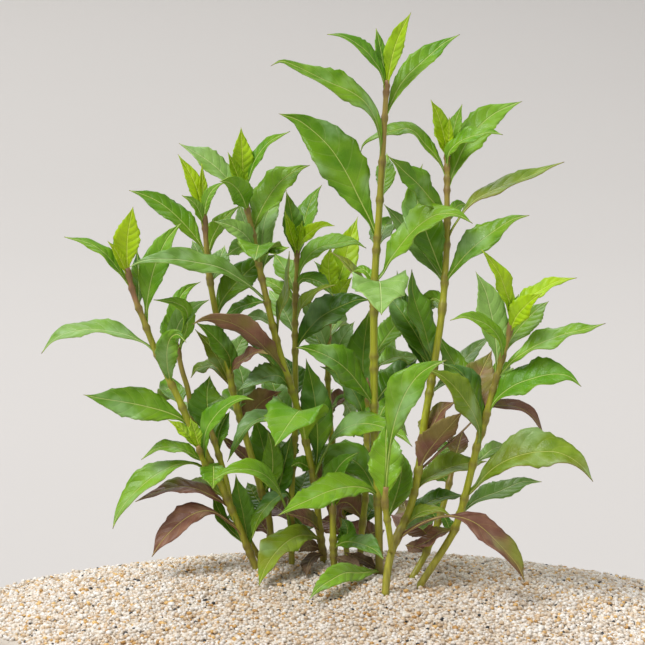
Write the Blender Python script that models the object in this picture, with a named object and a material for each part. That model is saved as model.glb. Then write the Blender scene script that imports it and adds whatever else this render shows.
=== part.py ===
"""A clump of cardinal flower stems in pale sand, in a plain low pot. Metres, +Z up, +Y away from the front.

The origin is the middle of the pot's flat underside. Each stem and leaf is drawn on one front view, with its points
in pixels, two to a millimetre at the pot's axis, and is then carried to its own depth along the line of sight.
"""

import math
from typing import NamedTuple

import bmesh
import bpy
from mathutils import Vector

MM = 0.001

# The pot, a low oval bowl with a flat foot and a rim band, in millimetres like the sizes after it
POT_HEIGHT = 64.0
RIM_HALF_LENGTH = 188.0
RIM_HALF_WIDTH = 120.0
FOOT_INSET = 25.0
WALL = 6.0
FLOOR_THICKNESS = 8.0
FOOT_CHAMFER = 1.5
RIM_BAND = 12.0
RIM_STEP = 2.0
RIM_ROUNDING = 2.0
POT_SIDES = 28
WALL_SHARES = (0.0, 0.2, 0.5, 0.8)

# The sand, heaped above the rim in the middle
SAND_CREST = 81.0
SAND_DROP = 18.0
SAND_CURVE = 3.0
SAND_RINGS = 5
GAP = 0.3
SAND_INSET = WALL + 3 * GAP
BURIED = 26.0
SOCKET_EXTRA = 0.35

# The front view: its sheet, its eye and its fall
SHEET_MIDDLE = 322.5
PIXELS_PER_METRE_AHEAD = 2000.0
EYE_DISTANCE = 1000.0
LOOK_DOWN = math.radians(6.0)
AXIS_PIXEL = 336.0
AIM_X = -(AXIS_PIXEL - SHEET_MIDDLE) / 2
AIM_Z = SAND_CREST + 128.1

# Leaf form
PETIOLE_WIDTH = 2.0
LEAF_THICKNESS = 1.3
WIDTH_ALONG = (
    (0.0, 0.10),
    (0.12, 0.24),
    (0.28, 0.72),
    (0.45, 1.0),
    (0.62, 0.90),
    (0.8, 0.50),
    (0.92, 0.17),
    (1.0, 0.0),
)
OWN_STATIONS = (0.0, 0.2, 0.48, 0.77)
LONG_FUSED_STATIONS = (0.0, 0.2, 0.45, 0.74)
FUSED_STATIONS = (0.0, 0.26, 0.62)
LONG_LEAF = 56.0
FOLD = math.radians(12.0)

TONES = {
    "green": (0.13, 0.27, 0.035),
    "dark": (0.055, 0.15, 0.018),
    "pale": (0.25, 0.42, 0.15),
    "young": (0.36, 0.52, 0.02),
    "fresh": (0.22, 0.40, 0.03),
    "olive": (0.19, 0.26, 0.03),
    "bronze": (0.17, 0.10, 0.045),
    "dry": (0.26, 0.17, 0.09),
}


class Stem(NamedTuple):
    """A stem from its tip down to the sand, with its depths and thicknesses in millimetres at both ends."""

    route: tuple
    top_depth: float
    foot_depth: float
    top_width: float = 2.6
    foot_width: float = 3.6
    joins: str = ""


LEVEL = None


class Leaf(NamedTuple):
    """A leaf from its base to its tip. out is how far its tip comes forward, in millimetres, and face how far its
    top turns away from the eye, in degrees, or LEVEL for one that arches towards the eye with both halves level.
    stalk is the narrow share of its length. An own leaf is its own node."""

    path: tuple
    width: float
    out: float = 0.0
    face: float = 30.0
    tone: str = "green"
    own: bool = False
    stalk: float = 0.05


STEMS = {
    "tall_stem": Stem(
        ((387, 80), (385.5, 103), (384, 130), (381, 180), (378.5, 222), (375.5, 265), (374, 310), (374, 380),
         (374.5, 430), (378, 500), (379.5, 577)), 0, -2, 2.4, 4.0),
    "right_stem": Stem(
        ((447, 152), (447, 200), (447, 238), (444.5, 285), (441, 320), (436.5, 350), (430, 390), (424.5, 422),
         (420, 460), (414.5, 490), (408, 514), (394, 545), (388, 568), (385.5, 591)), 8, -40, 2.4, 3.8),
    "far_right_stem": Stem(
        ((511.5, 322), (508, 338), (503, 355), (497, 377), (491, 398), (484, 424), (477.5, 444), (472, 468),
         (464, 500), (456, 526), (446, 545), (420, 585)), -22, -28, 2.4, 3.6),
    "back_right_stem": Stem(((455, 455), (452, 470), (447, 492), (438, 522), (426, 553), (412, 578)), 14, -8, 2.4, 3.2),
    "centre_stem": Stem(
        ((297, 249), (297, 272), (295.5, 299), (295, 336), (295.5, 387), (295, 430), (292, 480), (291, 530), (292, 566)),
        44, 18, 2.4, 3.2),
    "back_centre_stem": Stem(
        ((334, 292), (330, 320), (328, 350), (328, 385), (331, 430), (338, 490), (344, 530), (348, 562)),
        58, 30, 2.2, 3.0),
    "rear_stem": Stem(((368, 378), (367, 440), (366, 490), (362, 530), (360, 562)), 40, 14, 2.4, 3.2),
    "left_centre_stem": Stem(
        ((244, 186), (246.5, 206), (252.5, 232), (260, 270), (268.5, 308), (275, 335), (282, 360), (288.5, 380),
         (298, 410), (304, 434), (309.5, 458), (314, 480), (317, 505), (320, 532), (324, 563)), 8, 26, 2.4, 3.6),
    "left_inner_stem": Stem(
        ((204, 214), (207, 253), (211, 287), (219, 328), (228, 364), (233, 392), (240, 418), (247, 441), (254, 465),
         (261, 490), (269, 518), (271, 539), (275, 562)), 2, 30, 2.4, 3.5),
    "far_left_stem": Stem(
        ((127, 268), (133.5, 294), (143.5, 320), (154, 347), (167, 375), (180, 402), (189.5, 424), (206, 455),
         (219, 480), (231, 508), (243, 536), (256, 568)), -14, 10, 2.4, 3.6),
    "left_back_stem": Stem(
        ((176, 343), (182, 370), (188, 390), (192, 415), (201, 440), (214, 470), (232, 505), (249, 540), (264, 564)),
        8, 24, 2.4, 3.0),
    "front_shoot": Stem(((333, 503), (333, 530), (334, 562)), 4, 2, 2.8, 3.4),
    "right_branch": Stem(((386, 487), (385, 505), (389, 530), (392, 552)), -48, -38, 2.6, 3.0, "right_stem"),
    "left_branch": Stem(((209, 424), (214, 440), (219, 456), (226, 480), (231, 508)), 4, 5, 2.4, 3.0, "far_left_stem"),
    "left_sprig": Stem(((198, 446), (203, 460), (210, 471), (219, 480)), -8, 3, 2.2, 2.8, "far_left_stem"),
}

LEAVES = {
    "tall_stem": (
        Leaf(((386, 88), (384, 70), (381.5, 55), (379, 42), (376.3, 28)), 8, -6, 36, "fresh"),
        Leaf(((387.5, 86), (389, 74), (392, 59), (396, 44), (402, 29), (411, 12)), 9, 6, 20, "young"),
        Leaf(((386, 92), (381, 72), (375, 62), (368, 53), (360, 46.5), (350, 39.5), (340, 35), (327, 34)), 9, 8, 56,
             "fresh"),
        Leaf(((386, 119), (391, 104), (398, 89), (407, 76.5), (419, 65), (431, 54), (444, 43), (460, 34)), 12, -14, 36,
             "fresh", True, 0.08),
        Leaf(((381.5, 161), (380.5, 141), (377, 124), (370.5, 110), (361, 99), (347, 90), (330, 82.5), (311, 73),
              (295, 65.5), (281, 61), (270.5, 66)), 14, 14, 48, "green", True, 0.12),
        Leaf(((383, 199), (385, 178), (387, 152)), 9, -34, 0, "fresh"),
        Leaf(((375, 237), (370, 220), (363, 206), (356, 192), (349, 178), (341, 164), (331, 149), (320, 137),
              (309, 127.5), (297, 119.5), (278, 113.5)), 22, -12, 8, "green", True, 0.08),
        Leaf(((377.5, 284), (383, 273), (390, 260), (400, 246), (411, 233), (423, 222.5), (436, 215), (450, 213.5),
              (462, 216.5), (473, 223.5)), 17, 16, 48, "green", True, 0.1),
        Leaf(((375, 306), (376.5, 297), (377.5, 288), (378.5, 281.5), (380, 283), (381, 297), (381.5, 315)), 26, 46,
             LEVEL, "pale", True),
        Leaf(((374, 406), (367.5, 396), (360, 385), (352, 375), (342, 366), (330, 358), (317, 351.5), (305, 348),
              (295, 347.5)), 17, 22, 38, "green", True),
        Leaf(((375, 357), (383, 342), (392, 329), (402, 316), (411, 303)), 12, -26, 20, "fresh"),
        Leaf(((374, 367), (388, 360), (402, 357), (420, 357)), 13, -24, 52, "green"),
        Leaf(((374, 406), (383, 392), (394, 380), (406, 367), (419, 356)), 14, -26, 30, "dark"),
        Leaf(((375, 312), (361, 284), (348, 265), (330.5, 251)), 10, -16, 66, "olive"),
        Leaf(((375, 290), (370, 276), (362, 269), (352, 272)), 6, -10, 40, "fresh"),
        Leaf(((379, 500), (373.5, 492.5), (365, 488), (353, 486.5), (339, 488.5), (325, 493), (309, 500), (293, 507),
              (277.5, 515.5)), 17, 34, 40, "green", True),
        Leaf(((379, 505), (372, 485), (362, 468), (350, 459), (337, 461), (328, 471), (321, 487)), 16, -30, 20, "dark",
             True),
        Leaf(((379.5, 568), (370, 572), (358, 573), (345, 573), (331, 580), (319, 588), (309, 599)), 11, 64, 28,
             "green"),
        Leaf(((377, 250), (383, 232), (387, 224), (389, 234)), 13, -52, 35, "green"),
        Leaf(((374, 430), (382, 412), (386, 406), (389, 416)), 14, -46, 35, "green"),
        Leaf(((379, 573), (368, 563), (356, 557), (345, 552)), 6, -6, 40, "dry"),
    ),
    "right_stem": (
        Leaf(((446.5, 157), (445, 142), (442, 128), (437.5, 114), (431, 99.5)), 9, 6, 30, "young"),
        Leaf(((446, 158), (441, 140), (435, 116)), 7, -8, 40, "young"),
        Leaf(((448, 155), (449, 136), (449, 117)), 5, 6, 30, "young"),
        Leaf(((447.5, 158), (450, 145), (453.5, 131), (457, 118), (462, 104)), 8, -6, 30, "fresh"),
        Leaf(((447, 168), (449, 153), (457, 143.5), (467, 138), (479, 134.5), (491, 132), (503, 134.5)), 10, 16, 52,
             "fresh"),
        Leaf(((447.5, 191), (451, 178), (456.5, 164), (463, 149.5), (471, 136.5), (481, 124.5), (493, 114.5),
              (507, 107), (522.5, 101)), 16, -20, 26, "fresh", True, 0.08),
        Leaf(((446, 181), (441.5, 166), (434, 154), (424, 143), (415.5, 132), (406, 128), (394, 130.5), (382, 134),
              (370, 139), (363, 145), (360, 153)), 10, -16, 56, "green"),
        Leaf(((447, 218), (440, 209), (430, 198), (419, 186), (408, 175), (398, 165), (388, 155.5)), 14, 26, 38,
             "green", True),
        Leaf(((444.5, 280), (439, 266), (433, 250), (427, 235), (421, 218), (417, 200), (417.5, 180), (423, 163.5)),
             18, -12, 15, "green", True),
        Leaf(((446.5, 244), (451, 232), (458, 220), (467, 208), (479, 198), (492, 191.5), (506, 184.5), (520, 179.5),
              (534, 173.5), (548, 167.5), (564.5, 161.5)), 13, -12, 62, "olive", True, 0.18),
        Leaf(((444, 286), (450, 275), (458.5, 263.5), (468, 252.5), (479, 242), (491, 233), (503, 225), (515, 218.5),
              (529.5, 215)), 15, 10, 42, "green", True),
        Leaf(((447, 224), (455, 208.5), (461, 204.5), (468, 205)), 7, -16, 30, "fresh"),
        Leaf(((442.5, 305), (437, 299), (431, 299.5), (430, 311)), 9, -22, 30, "green"),
        Leaf(((435, 369), (430, 350), (424, 330), (418, 311), (413, 291), (412, 269)), 16, -14, 46, "dark", True),
        Leaf(((434, 373), (420, 342), (406, 319), (393, 301), (382, 288)), 15, -22, 26, "dark", True),
        Leaf(((433, 382), (419, 350), (408, 320), (400, 294), (397, 270)), 10, -34, 20, "dark"),
        Leaf(((430, 394), (450, 377), (466, 358), (480, 344), (493, 335)), 10, -62, 32, "pale"),
        Leaf(((417, 472), (425.5, 455), (437.5, 439), (449, 426), (463, 411)), 14, 10, 138, "bronze"),
        Leaf(((422, 448), (431, 428), (441, 411), (456, 401)), 12, -8, 50, "bronze"),
        Leaf(((414.5, 492), (424, 481), (434, 475), (446, 469), (460, 464.5), (474, 462.5), (487, 461)), 16, -22, 48,
             "olive", True),
        Leaf(((408, 520.5), (416, 511), (426, 504), (437, 499), (450, 496), (465, 495)), 10, -20, 52, "dark"),
        Leaf(((403, 530), (409.5, 521), (419.5, 513), (429.5, 510), (441, 511), (452, 516)), 8, 2, 52, "olive"),
        Leaf(((402, 533), (412, 525), (424, 520.5), (438, 517.5)), 9, -14, 40, "pale"),
        Leaf(((398.5, 543), (412, 529), (428, 520.5), (445, 516), (461, 517.5), (475, 523), (488, 533), (500, 545),
              (511, 557), (519, 568), (525, 582)), 15, 18, 42, "bronze", True, 0.38),
        Leaf(((419, 474), (430, 461.5), (440, 451.5), (451, 442), (461, 432.5), (470, 423.5), (479, 413), (489, 406.5),
              (503, 405.5), (516, 406), (528, 412), (537, 422), (544, 434)), 11, -32, 62, "bronze", True, 0.5),
        Leaf(((444, 284), (430, 262), (415, 242), (400, 222), (384, 204)), 12, -26, 22, "pale"),
        Leaf(((442, 312), (436, 303), (431, 297), (425, 296)), 9, -40, 40, "fresh"),
        Leaf(((402, 535), (406, 515), (403, 498)), 12, -46, 15, "bronze"),
    ),
    "right_branch": (
        Leaf(((386, 500), (387, 472), (390, 445), (394.5, 422), (400.5, 404), (408.5, 388.5), (419, 375), (432, 366),
              (447, 359.5)), 17, 22, 30, "green", True, 0.36),
        Leaf(((385, 505), (385, 482), (386, 458), (386, 437), (388, 420)), 16, -14, 5, "green"),
        Leaf(((387, 520), (398, 490), (402, 465), (398, 448)), 12, -20, 20, "dark"),
    ),
    "far_right_stem": (
        Leaf(((510.5, 332), (515.5, 318.5), (522, 309.5), (530, 301.5), (541.5, 293)), 11, 14, 30, "young"),
        Leaf(((511, 328), (520, 308), (530, 297), (541, 289.5), (552, 283.5), (563, 280), (577, 277.5)), 10, -12, 50,
             "young"),
        Leaf(((511.5, 326), (509.5, 303), (504.5, 288), (499.5, 274.5), (492, 262.5), (481.5, 249)), 9, 10, 34,
             "young"),
        Leaf(((511, 326), (513.5, 308), (518.5, 294)), 5, 4, 30, "fresh"),
        Leaf(((498, 377), (497, 358), (495.5, 340), (493, 322), (489.5, 306), (485, 290), (475.5, 271)), 14, -4, 10,
             "pale", True, 0.15),
        Leaf(((503, 361), (501.5, 345), (496, 333), (487, 324.5), (476, 320), (463, 316.5), (450, 320)), 9, 28, 50,
             "fresh"),
        Leaf(((504, 355), (510, 341), (518, 329), (528, 318.5), (538, 309), (549, 301)), 15, -32, 28, "green", True),
        Leaf(((498, 380), (505, 369.5), (513, 360.5), (524, 352.5), (537, 345), (551, 339), (567, 333.5), (586, 329),
              (605.5, 323)), 14, 10, 54, "green", True, 0.12),
        Leaf(((488, 414), (495, 401), (504, 392.5), (516, 384.5), (529, 379), (543, 375), (557, 374), (570, 377),
              (581.5, 386.5)), 18, 12, 42, "fresh", True, 0.1),
        Leaf(((467, 498), (476, 487), (487, 474), (499, 464.5), (512, 458), (526, 453.5), (541, 451.5), (556, 452),
              (570, 457.5), (583, 467.5), (593.5, 482)), 21, 16, 40, "olive", True, 0.12),
        Leaf(((463, 516), (467, 508), (475, 501), (486, 496), (498, 492), (510, 486.5), (524, 481.5), (542, 481.5)),
             13, -30, 48, "pale", True),
        Leaf(((476, 464), (484, 456), (492, 449.5), (502, 446.5), (512, 446)), 8, -24, 36, "pale"),
        Leaf(((480, 449), (479.5, 433), (475, 417), (467, 403.5), (455, 387.5), (441.5, 375.5), (425.5, 368.5)),
             14, 26, 40, "olive", True, 0.12),
        Leaf(((483, 433), (480, 412), (474.5, 395), (467, 379), (456, 368.5), (441, 363)), 11, 2, 54, "dark"),
        Leaf(((487, 420), (479, 399), (478, 382), (484, 366), (492, 350)), 14, -26, 12, "bronze"),
        Leaf(((455, 530), (440, 533), (428, 541), (411, 548)), 8, 4, 50, "bronze"),
        Leaf(((482, 434), (474, 407), (464, 384), (454, 364), (445, 348), (437, 331)), 13, -30, 20, "green"),
        Leaf(((494, 392), (500, 376), (503, 371), (506, 381)), 12, -50, 35, "green"),
    ),
    "back_right_stem": (
        Leaf(((453, 466), (447, 450), (440, 440)), 10, -20, 20, "green"),
        Leaf(((455, 460), (459, 444), (463, 430)), 9, -12, 20, "bronze"),
        Leaf(((449, 483), (439, 474), (428, 468)), 10, -14, 30, "dark"),
        Leaf(((440, 514), (446, 520), (451, 533)), 5, 8, 30, "dark"),
        Leaf(((439, 522), (426, 506), (413, 500)), 12, -16, 20, "dark"),
        Leaf(((432, 540), (418, 526), (404, 522)), 12, -14, 20, "bronze"),
        Leaf(((427, 552), (416, 547), (405, 545)), 8, -10, 30, "bronze"),
    ),
    "centre_stem": (
        Leaf(((297, 259), (294.5, 240), (292.5, 222), (290, 207), (286.3, 191)), 11, 4, 20, "dark", True),
        Leaf(((298, 261), (300, 243), (303, 227), (307, 211), (313, 197), (322, 184.5)), 13, -26, 34, "dark", True),
        Leaf(((297, 254), (292, 237), (285, 210.5)), 5.5, 18, 30, "young"),
        Leaf(((297, 252), (299.5, 237), (302, 221)), 6, 12, 30, "young"),
        Leaf(((297.5, 254), (302, 241), (309, 233.5), (317, 228), (325, 225), (334.5, 225.5)), 8, 24, 45, "young"),
        Leaf(((297, 283), (300.5, 270), (306, 260), (314, 251), (324, 245.5), (335, 244), (346, 242), (356, 242.5),
              (366.5, 248)), 14, 6, 54, "fresh", True, 0.1),
        Leaf(((296, 323), (301, 307), (308, 298), (316, 291.5), (326, 287), (336, 284.5)), 8, 18, 60, "olive"),
        Leaf(((296, 350), (301, 340), (309, 329), (319, 319), (331, 311), (344, 304.5), (358, 299.5), (371, 300)),
             18, 2, 38, "dark", True, 0.08),
        Leaf(((296, 400), (292, 375), (284, 356)), 12, -22, 20, "dark"),
        Leaf(((296, 334), (288, 318), (279, 303), (268, 289)), 14, -36, 15, "pale"),
        Leaf(((296, 306), (290, 297), (280, 288.5), (269, 282), (257, 278.5)), 9, -20, 40, "green"),
        Leaf(((296, 295), (290, 278), (283, 266), (273, 252.5)), 12, -24, 20, "green"),
        Leaf(((296, 290), (302, 279), (312, 279), (322, 284), (334, 296)), 9, 10, 45, "green"),
        Leaf(((295, 420), (280, 400), (272, 380), (276, 362)), 14, -40, 20, "green"),
        Leaf(((291, 502), (286, 493.5), (276, 498), (266, 507), (258, 519), (251.5, 539)), 9, 30, 44, "dark"),
        Leaf(((291, 535), (287, 512), (279, 491), (268, 478), (255, 471), (241, 469), (227, 471.5), (213.5, 480)),
             12, 56, 50, "fresh", False, 0.35),
        Leaf(((294, 440), (303, 424), (308, 418), (313, 424)), 13, -28, 35, "dark"),
        Leaf(((292, 466), (283, 450), (276, 440)), 13, -24, 15, "dark"),
        Leaf(((291, 503), (302, 486), (308, 470)), 13, -22, 15, "dark"),
        Leaf(((291, 522), (279, 508), (266, 504)), 12, -24, 20, "bronze"),
        Leaf(((291, 538), (303, 523), (314, 514)), 12, -22, 20, "dark"),
    ),
    "back_centre_stem": (
        Leaf(((333, 300), (330, 281), (328.5, 265), (331, 246)), 10, -4, 12, "young"),
        Leaf(((334, 302), (339, 280), (345, 260), (350, 240), (358, 216)), 13, -16, 10, "young"),
        Leaf(((333, 298), (327, 279), (320, 267), (314, 261)), 7, -10, 35, "pale"),
        Leaf(((333, 306), (341, 290), (352, 277)), 8, 6, 25, "young"),
        Leaf(((328, 380), (337, 350), (345, 334), (355, 321)), 14, -28, 15, "pale"),
        Leaf(((328, 360), (320, 345), (315, 330), (318, 312)), 13, -30, 15, "green"),
        Leaf(((328.5, 352), (320, 328), (312, 314), (305, 303), (298, 293.5)), 11, 2, 22, "pale"),
        Leaf(((330, 415), (338, 400), (348, 395), (358, 390)), 9, -20, 45, "bronze"),
        Leaf(((330, 408), (341, 402), (350, 410), (354, 426)), 10, -26, 35, "pale"),
        Leaf(((331, 440), (322, 420), (324, 400), (334, 388)), 14, -40, 20, "green"),
        Leaf(((328, 340), (335, 324), (340, 320), (344, 330)), 13, -50, 35, "green"),
        Leaf(((334, 470), (322, 455), (309, 452)), 13, -20, 25, "dark"),
        Leaf(((338, 495), (326, 480), (312, 479), (301, 490)), 13, -18, 20, "bronze"),
        Leaf(((342, 518), (354, 502), (364, 486)), 13, -16, 15, "dark"),
        Leaf(((345, 538), (332, 523), (320, 520)), 12, -16, 20, "bronze"),
    ),
    "rear_stem": (
        Leaf(((367, 400), (363, 372), (364, 345), (369, 310)), 17, -12, 5, "dark", True),
        Leaf(((367, 432), (360, 405), (350, 387), (338, 374), (320, 366)), 13, -6, 42, "dark"),
        Leaf(((368, 385), (375, 362), (385, 345), (390, 322)), 13, -30, 20, "green"),
        Leaf(((367, 440), (357, 429), (348, 434)), 10, -10, 30, "green"),
        Leaf(((367, 450), (382, 428), (398, 425), (408, 436)), 13, -44, 30, "green"),
        Leaf(((366, 480), (374, 455), (388, 448), (402, 455)), 13, -34, 35, "dark"),
        Leaf(((365, 500), (352, 480), (345, 478), (340, 490)), 14, -48, 35, "olive"),
        Leaf(((364, 520), (350, 504), (338, 505), (328, 520)), 13, -20, 25, "bronze"),
        Leaf(((363, 524), (375, 506), (390, 500)), 13, -26, 25, "dark"),
        Leaf(((361, 545), (350, 530), (341, 526)), 12, -14, 20, "bronze"),
        Leaf(((361, 545), (372, 533), (385, 530)), 11, -16, 30, "bronze"),
    ),
    "left_centre_stem": (
        Leaf(((244, 193), (243, 172), (242, 152), (241, 127)), 10, 3, 10, "young"),
        Leaf(((244, 194), (237, 174), (228, 152)), 6, 8, 25, "young"),
        Leaf(((245, 193), (249, 178), (254.5, 161.5), (262, 149), (272, 140), (290, 131)), 8, 6, 52, "fresh"),
        Leaf(((244, 200), (236, 189), (227, 178.5), (217, 168), (205, 158.5), (191, 150), (179, 143)), 13, -8, 42,
             "pale"),
        Leaf(((246.5, 211), (243.5, 200), (238, 190), (230, 183), (220, 181)), 12, 24, 15, "fresh"),
        Leaf(((253, 237), (256, 223), (261.5, 209), (269, 195.5), (278.5, 184), (289, 175), (299, 168.5), (310, 165)),
             17, -6, 36, "green", True),
        Leaf(((261.5, 277), (262, 255), (262.5, 238), (265, 221), (271, 206), (279, 196), (287, 189.5)), 15, -24, 26,
             "pale", True),
        Leaf(((257, 254), (250, 235), (243, 217), (238, 202)), 11, -20, 22, "pale"),
        Leaf(((257, 252), (248, 238), (237, 229), (226, 224), (214, 221)), 10, 14, 32, "pale"),
        Leaf(((259, 262), (259.5, 254), (260, 247), (259, 244.5), (257.5, 250), (254.5, 261)), 21, 34, LEVEL, "green"),
        Leaf(((258, 257), (267, 249.5), (278, 250), (289, 247)), 7, 12, 35, "fresh"),
        Leaf(((258, 264), (250, 250), (239, 247), (226, 256)), 11, -10, 34, "pale"),
        Leaf(((265, 302), (256, 291.5), (247, 284), (236, 276.5), (224, 269.5), (211, 265), (197, 262.5), (182, 260),
              (166, 259), (150, 259.5), (139, 262), (127.5, 268)), 13, 40, 44, "pale", True, 0.12),
        Leaf(((266, 304), (258, 302), (248, 304), (237, 308.5), (223.5, 316)), 9, -10, 45, "fresh"),
        Leaf(((272, 327), (264, 319.5), (256, 316.5), (244, 316)), 8, -18, 40, "pale"),
        Leaf(((287, 376), (281, 366), (273, 356), (263.5, 345.5), (253, 335.5), (241, 327.5), (228, 321.5),
              (214, 318.5), (202, 319.5), (191.5, 324.5)), 15, 30, 130, "bronze", True, 0.1),
        Leaf(((285, 382), (275, 365), (262, 351), (247, 341)), 9, -4, 60, "dark"),
        Leaf(((289, 390), (281, 377), (270, 376), (259, 379.5), (248, 384), (237.5, 391)), 11, 16, 45, "dark"),
        Leaf(((277, 342), (279, 318), (285, 294), (288, 270), (289, 251)), 8, 2, 66, "olive"),
        Leaf(((302, 418), (285, 417), (268, 416), (252, 422), (239, 439), (227, 462)), 10, 22, 56, "dark"),
        Leaf(((315, 478), (317.5, 450), (317, 425), (315, 402), (311.5, 382), (306, 358)), 16, -4, 8, "dark", True,
             0.15),
        Leaf(((315, 478), (320, 463), (326.5, 449), (333, 438), (342, 430.5), (353, 425.5), (367, 423.5), (381, 426),
              (393, 431), (404, 438), (412.5, 446.5)), 15, 50, 48, "green", True, 0.3),
        Leaf(((305.4, 440), (303.5, 427), (302, 415), (299, 410.5), (288, 425), (274.5, 446.5)), 29, 50, LEVEL,
             "fresh", True),
        Leaf(((321, 542), (312, 536), (301, 535.5), (290, 539.5), (280, 547), (271.5, 557.5), (264.5, 570),
              (258.5, 586.5)), 16, 62, 32, "olive", True),
        Leaf(((320, 530), (312, 522), (303, 517), (286, 513.5)), 10, 28, 50, "bronze"),
        Leaf(((313, 472), (305, 465), (298, 463), (291, 466)), 8, 5, 30, "green"),
        Leaf(((322, 554), (313, 557), (308, 565), (306.5, 577)), 6, 44, 30, "dry"),
        Leaf(((321, 549), (310, 546), (298, 552)), 6, 8, 30, "dry"),
    ),
    "left_inner_stem": (
        Leaf(((203.5, 221), (201, 203), (195.5, 186), (188, 170), (178, 154)), 8, -5, 28, "young"),
        Leaf(((204, 218), (203, 198), (202.5, 180), (202, 163)), 4.5, -3, 30, "young"),
        Leaf(((204, 227), (200, 213), (193, 202), (182, 195)), 6, 12, 40, "fresh"),
        Leaf(((204, 222), (205.5, 205), (210.5, 193), (217.5, 185.5), (225, 182)), 6, 4, 35, "fresh"),
        Leaf(((208, 261), (203, 249), (196, 238), (188, 228), (178, 217.5), (167, 208), (155, 200), (143, 194.5),
              (129, 190)), 14, -8, 42, "green", True, 0.12),
        Leaf(((208, 262), (211, 242), (217, 229), (225, 217.5), (240, 205)), 8, -10, 32, "green"),
        Leaf(((209, 280), (203, 262), (198, 252), (192, 240)), 10, -26, 20, "pale"),
        Leaf(((210, 285), (217, 268), (221, 256), (225, 245)), 11, -30, 20, "pale"),
        Leaf(((215, 319), (221, 303), (229, 291), (239, 279.5), (250, 269), (262, 261), (277, 254)), 15, -20, 28,
             "dark", True),
        Leaf(((231, 374), (230, 360), (225, 350), (217, 340), (208, 331), (196, 322)), 11, 14, 38, "dark"),
        Leaf(((231, 388), (224, 371), (216, 356.5), (207, 342.5), (195, 329)), 9, -4, 36, "olive"),
        Leaf(((231, 389), (222, 374), (213, 366), (204, 367), (196, 368.5), (190.5, 378)), 9, -22, 48, "olive"),
        Leaf(((230, 376), (235, 366), (242, 360), (251, 354), (260, 352), (269, 354)), 8, 20, 60, "bronze"),
        Leaf(((229, 374), (234, 358), (240, 343), (249, 332)), 11, -28, 20, "pale"),
        Leaf(((238, 412), (243, 394), (242, 376), (236, 360)), 12, -34, 15, "pale"),
        Leaf(((243, 433), (252, 413), (264, 400), (281, 391)), 13, -12, 145, "bronze"),
        Leaf(((255, 468), (243, 455), (232, 445), (220, 435)), 7, -8, 50, "bronze"),
        Leaf(((261, 490), (265, 462), (261, 438), (254, 417)), 14, -24, 10, "dark"),
        Leaf(((263, 496), (272, 474), (272, 450), (268, 431)), 11, 4, 15, "green"),
        Leaf(((267, 508), (279, 486), (285, 462), (292, 433)), 11, 6, 28, "dark"),
        Leaf(((240, 418), (232, 402), (227, 399), (222, 409)), 13, -48, 35, "green"),
        Leaf(((267, 512), (256, 497), (247, 482)), 12, -18, 15, "dark"),
        Leaf(((271, 536), (260, 522), (249, 514)), 10, -16, 20, "bronze"),
    ),
    "far_left_stem": (
        Leaf(((128, 274), (127, 255), (127.5, 238), (130, 222), (133, 206.5)), 12, 3, 5, "young"),
        Leaf(((128, 274), (122, 252), (121, 236), (125, 222)), 8, -7, 20, "fresh"),
        Leaf(((128, 277), (121, 261), (115.5, 250), (108, 241)), 5, 8, 35, "young"),
        Leaf(((129, 290), (122, 275), (113, 262), (104, 252.5), (92, 245), (80, 240.5), (64, 236.5)), 9, 4, 56,
             "fresh"),
        Leaf(((138, 309), (138.5, 288), (138, 268), (137, 250)), 7, -22, 15, "dark"),
        Leaf(((144.5, 327), (146.5, 308), (149, 290), (152, 276), (155.5, 264.5), (160.5, 252), (166.5, 240),
              (173.5, 231), (182, 222)), 13, -8, 18, "fresh", True, 0.14),
        Leaf(((156, 356), (147, 345), (138, 340), (127, 335), (115, 332), (103, 330), (90, 329), (78, 330.5),
              (68, 332.5), (58, 337), (49, 343.5), (41, 353.5)), 14, 8, 58, "pale", True, 0.12),
        Leaf(((169, 386), (167.5, 367), (167, 350), (170.5, 338), (178, 334.5), (186.5, 343)), 10.5, 18, 5, "green"),
        Leaf(((191, 429), (183.5, 420.5), (175, 415.5), (163, 411), (150, 407.5), (135, 404), (118, 401), (101, 398.5),
              (83, 394.5)), 17, 8, 25, "green", True, 0.1),
        Leaf(((208, 465), (200, 459.5), (191, 453.5), (180, 448), (168, 447), (155, 449.5), (141, 459.5)), 9, 9, 54,
             "green"),
        Leaf(((209, 474), (203, 468), (194, 463.5), (182, 463.5), (170, 467), (158, 473.5), (146, 482.5),
              (134, 493.5), (124, 504.5), (116.5, 517), (112.5, 529)), 14, 16, 46, "green", True, 0.18),
        Leaf(((228, 509), (219, 500), (208, 494), (195, 488.5), (181, 486.5), (166, 489), (150, 495), (135, 501.5)),
             11, 8, 60, "bronze"),
        Leaf(((219, 500), (209, 486), (197, 482.5), (183, 482)), 7, -14, 42, "olive"),
        Leaf(((249, 545), (240, 531.5), (228, 521.5), (215, 512.5), (203, 511), (192, 514.5), (181, 521.5),
              (170, 531.5), (160, 543.5), (151.5, 557)), 15, 18, 40, "bronze", True, 0.36),
        Leaf(((246, 546), (238, 537), (226, 524), (217, 506), (212, 488)), 9, -8, 50, "green"),
        Leaf(((248, 553), (246, 530), (242.5, 512), (239, 495), (236, 474)), 11, -2, 22, "dark"),
        Leaf(((213, 472), (213.5, 466), (213.5, 473), (213, 489)), 12, 20, 5, "green"),
        Leaf(((181, 406), (172, 392), (167, 389), (162, 399)), 13, -46, 35, "green"),
    ),
    "left_branch": (
        Leaf(((214, 441), (210, 425), (207.5, 408), (207, 392), (210, 375)), 16, -16, 5, "dark"),
        Leaf(((218, 456), (218, 440), (222, 425), (230, 411)), 9, -12, 20, "green"),
    ),
    "left_sprig": (
        Leaf(((200, 451), (191, 438), (181, 428), (168, 419.5)), 7, 4, 40, "young"),
        Leaf(((200, 450), (196, 436), (190.5, 417.5)), 6, 2, 20, "young"),
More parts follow.
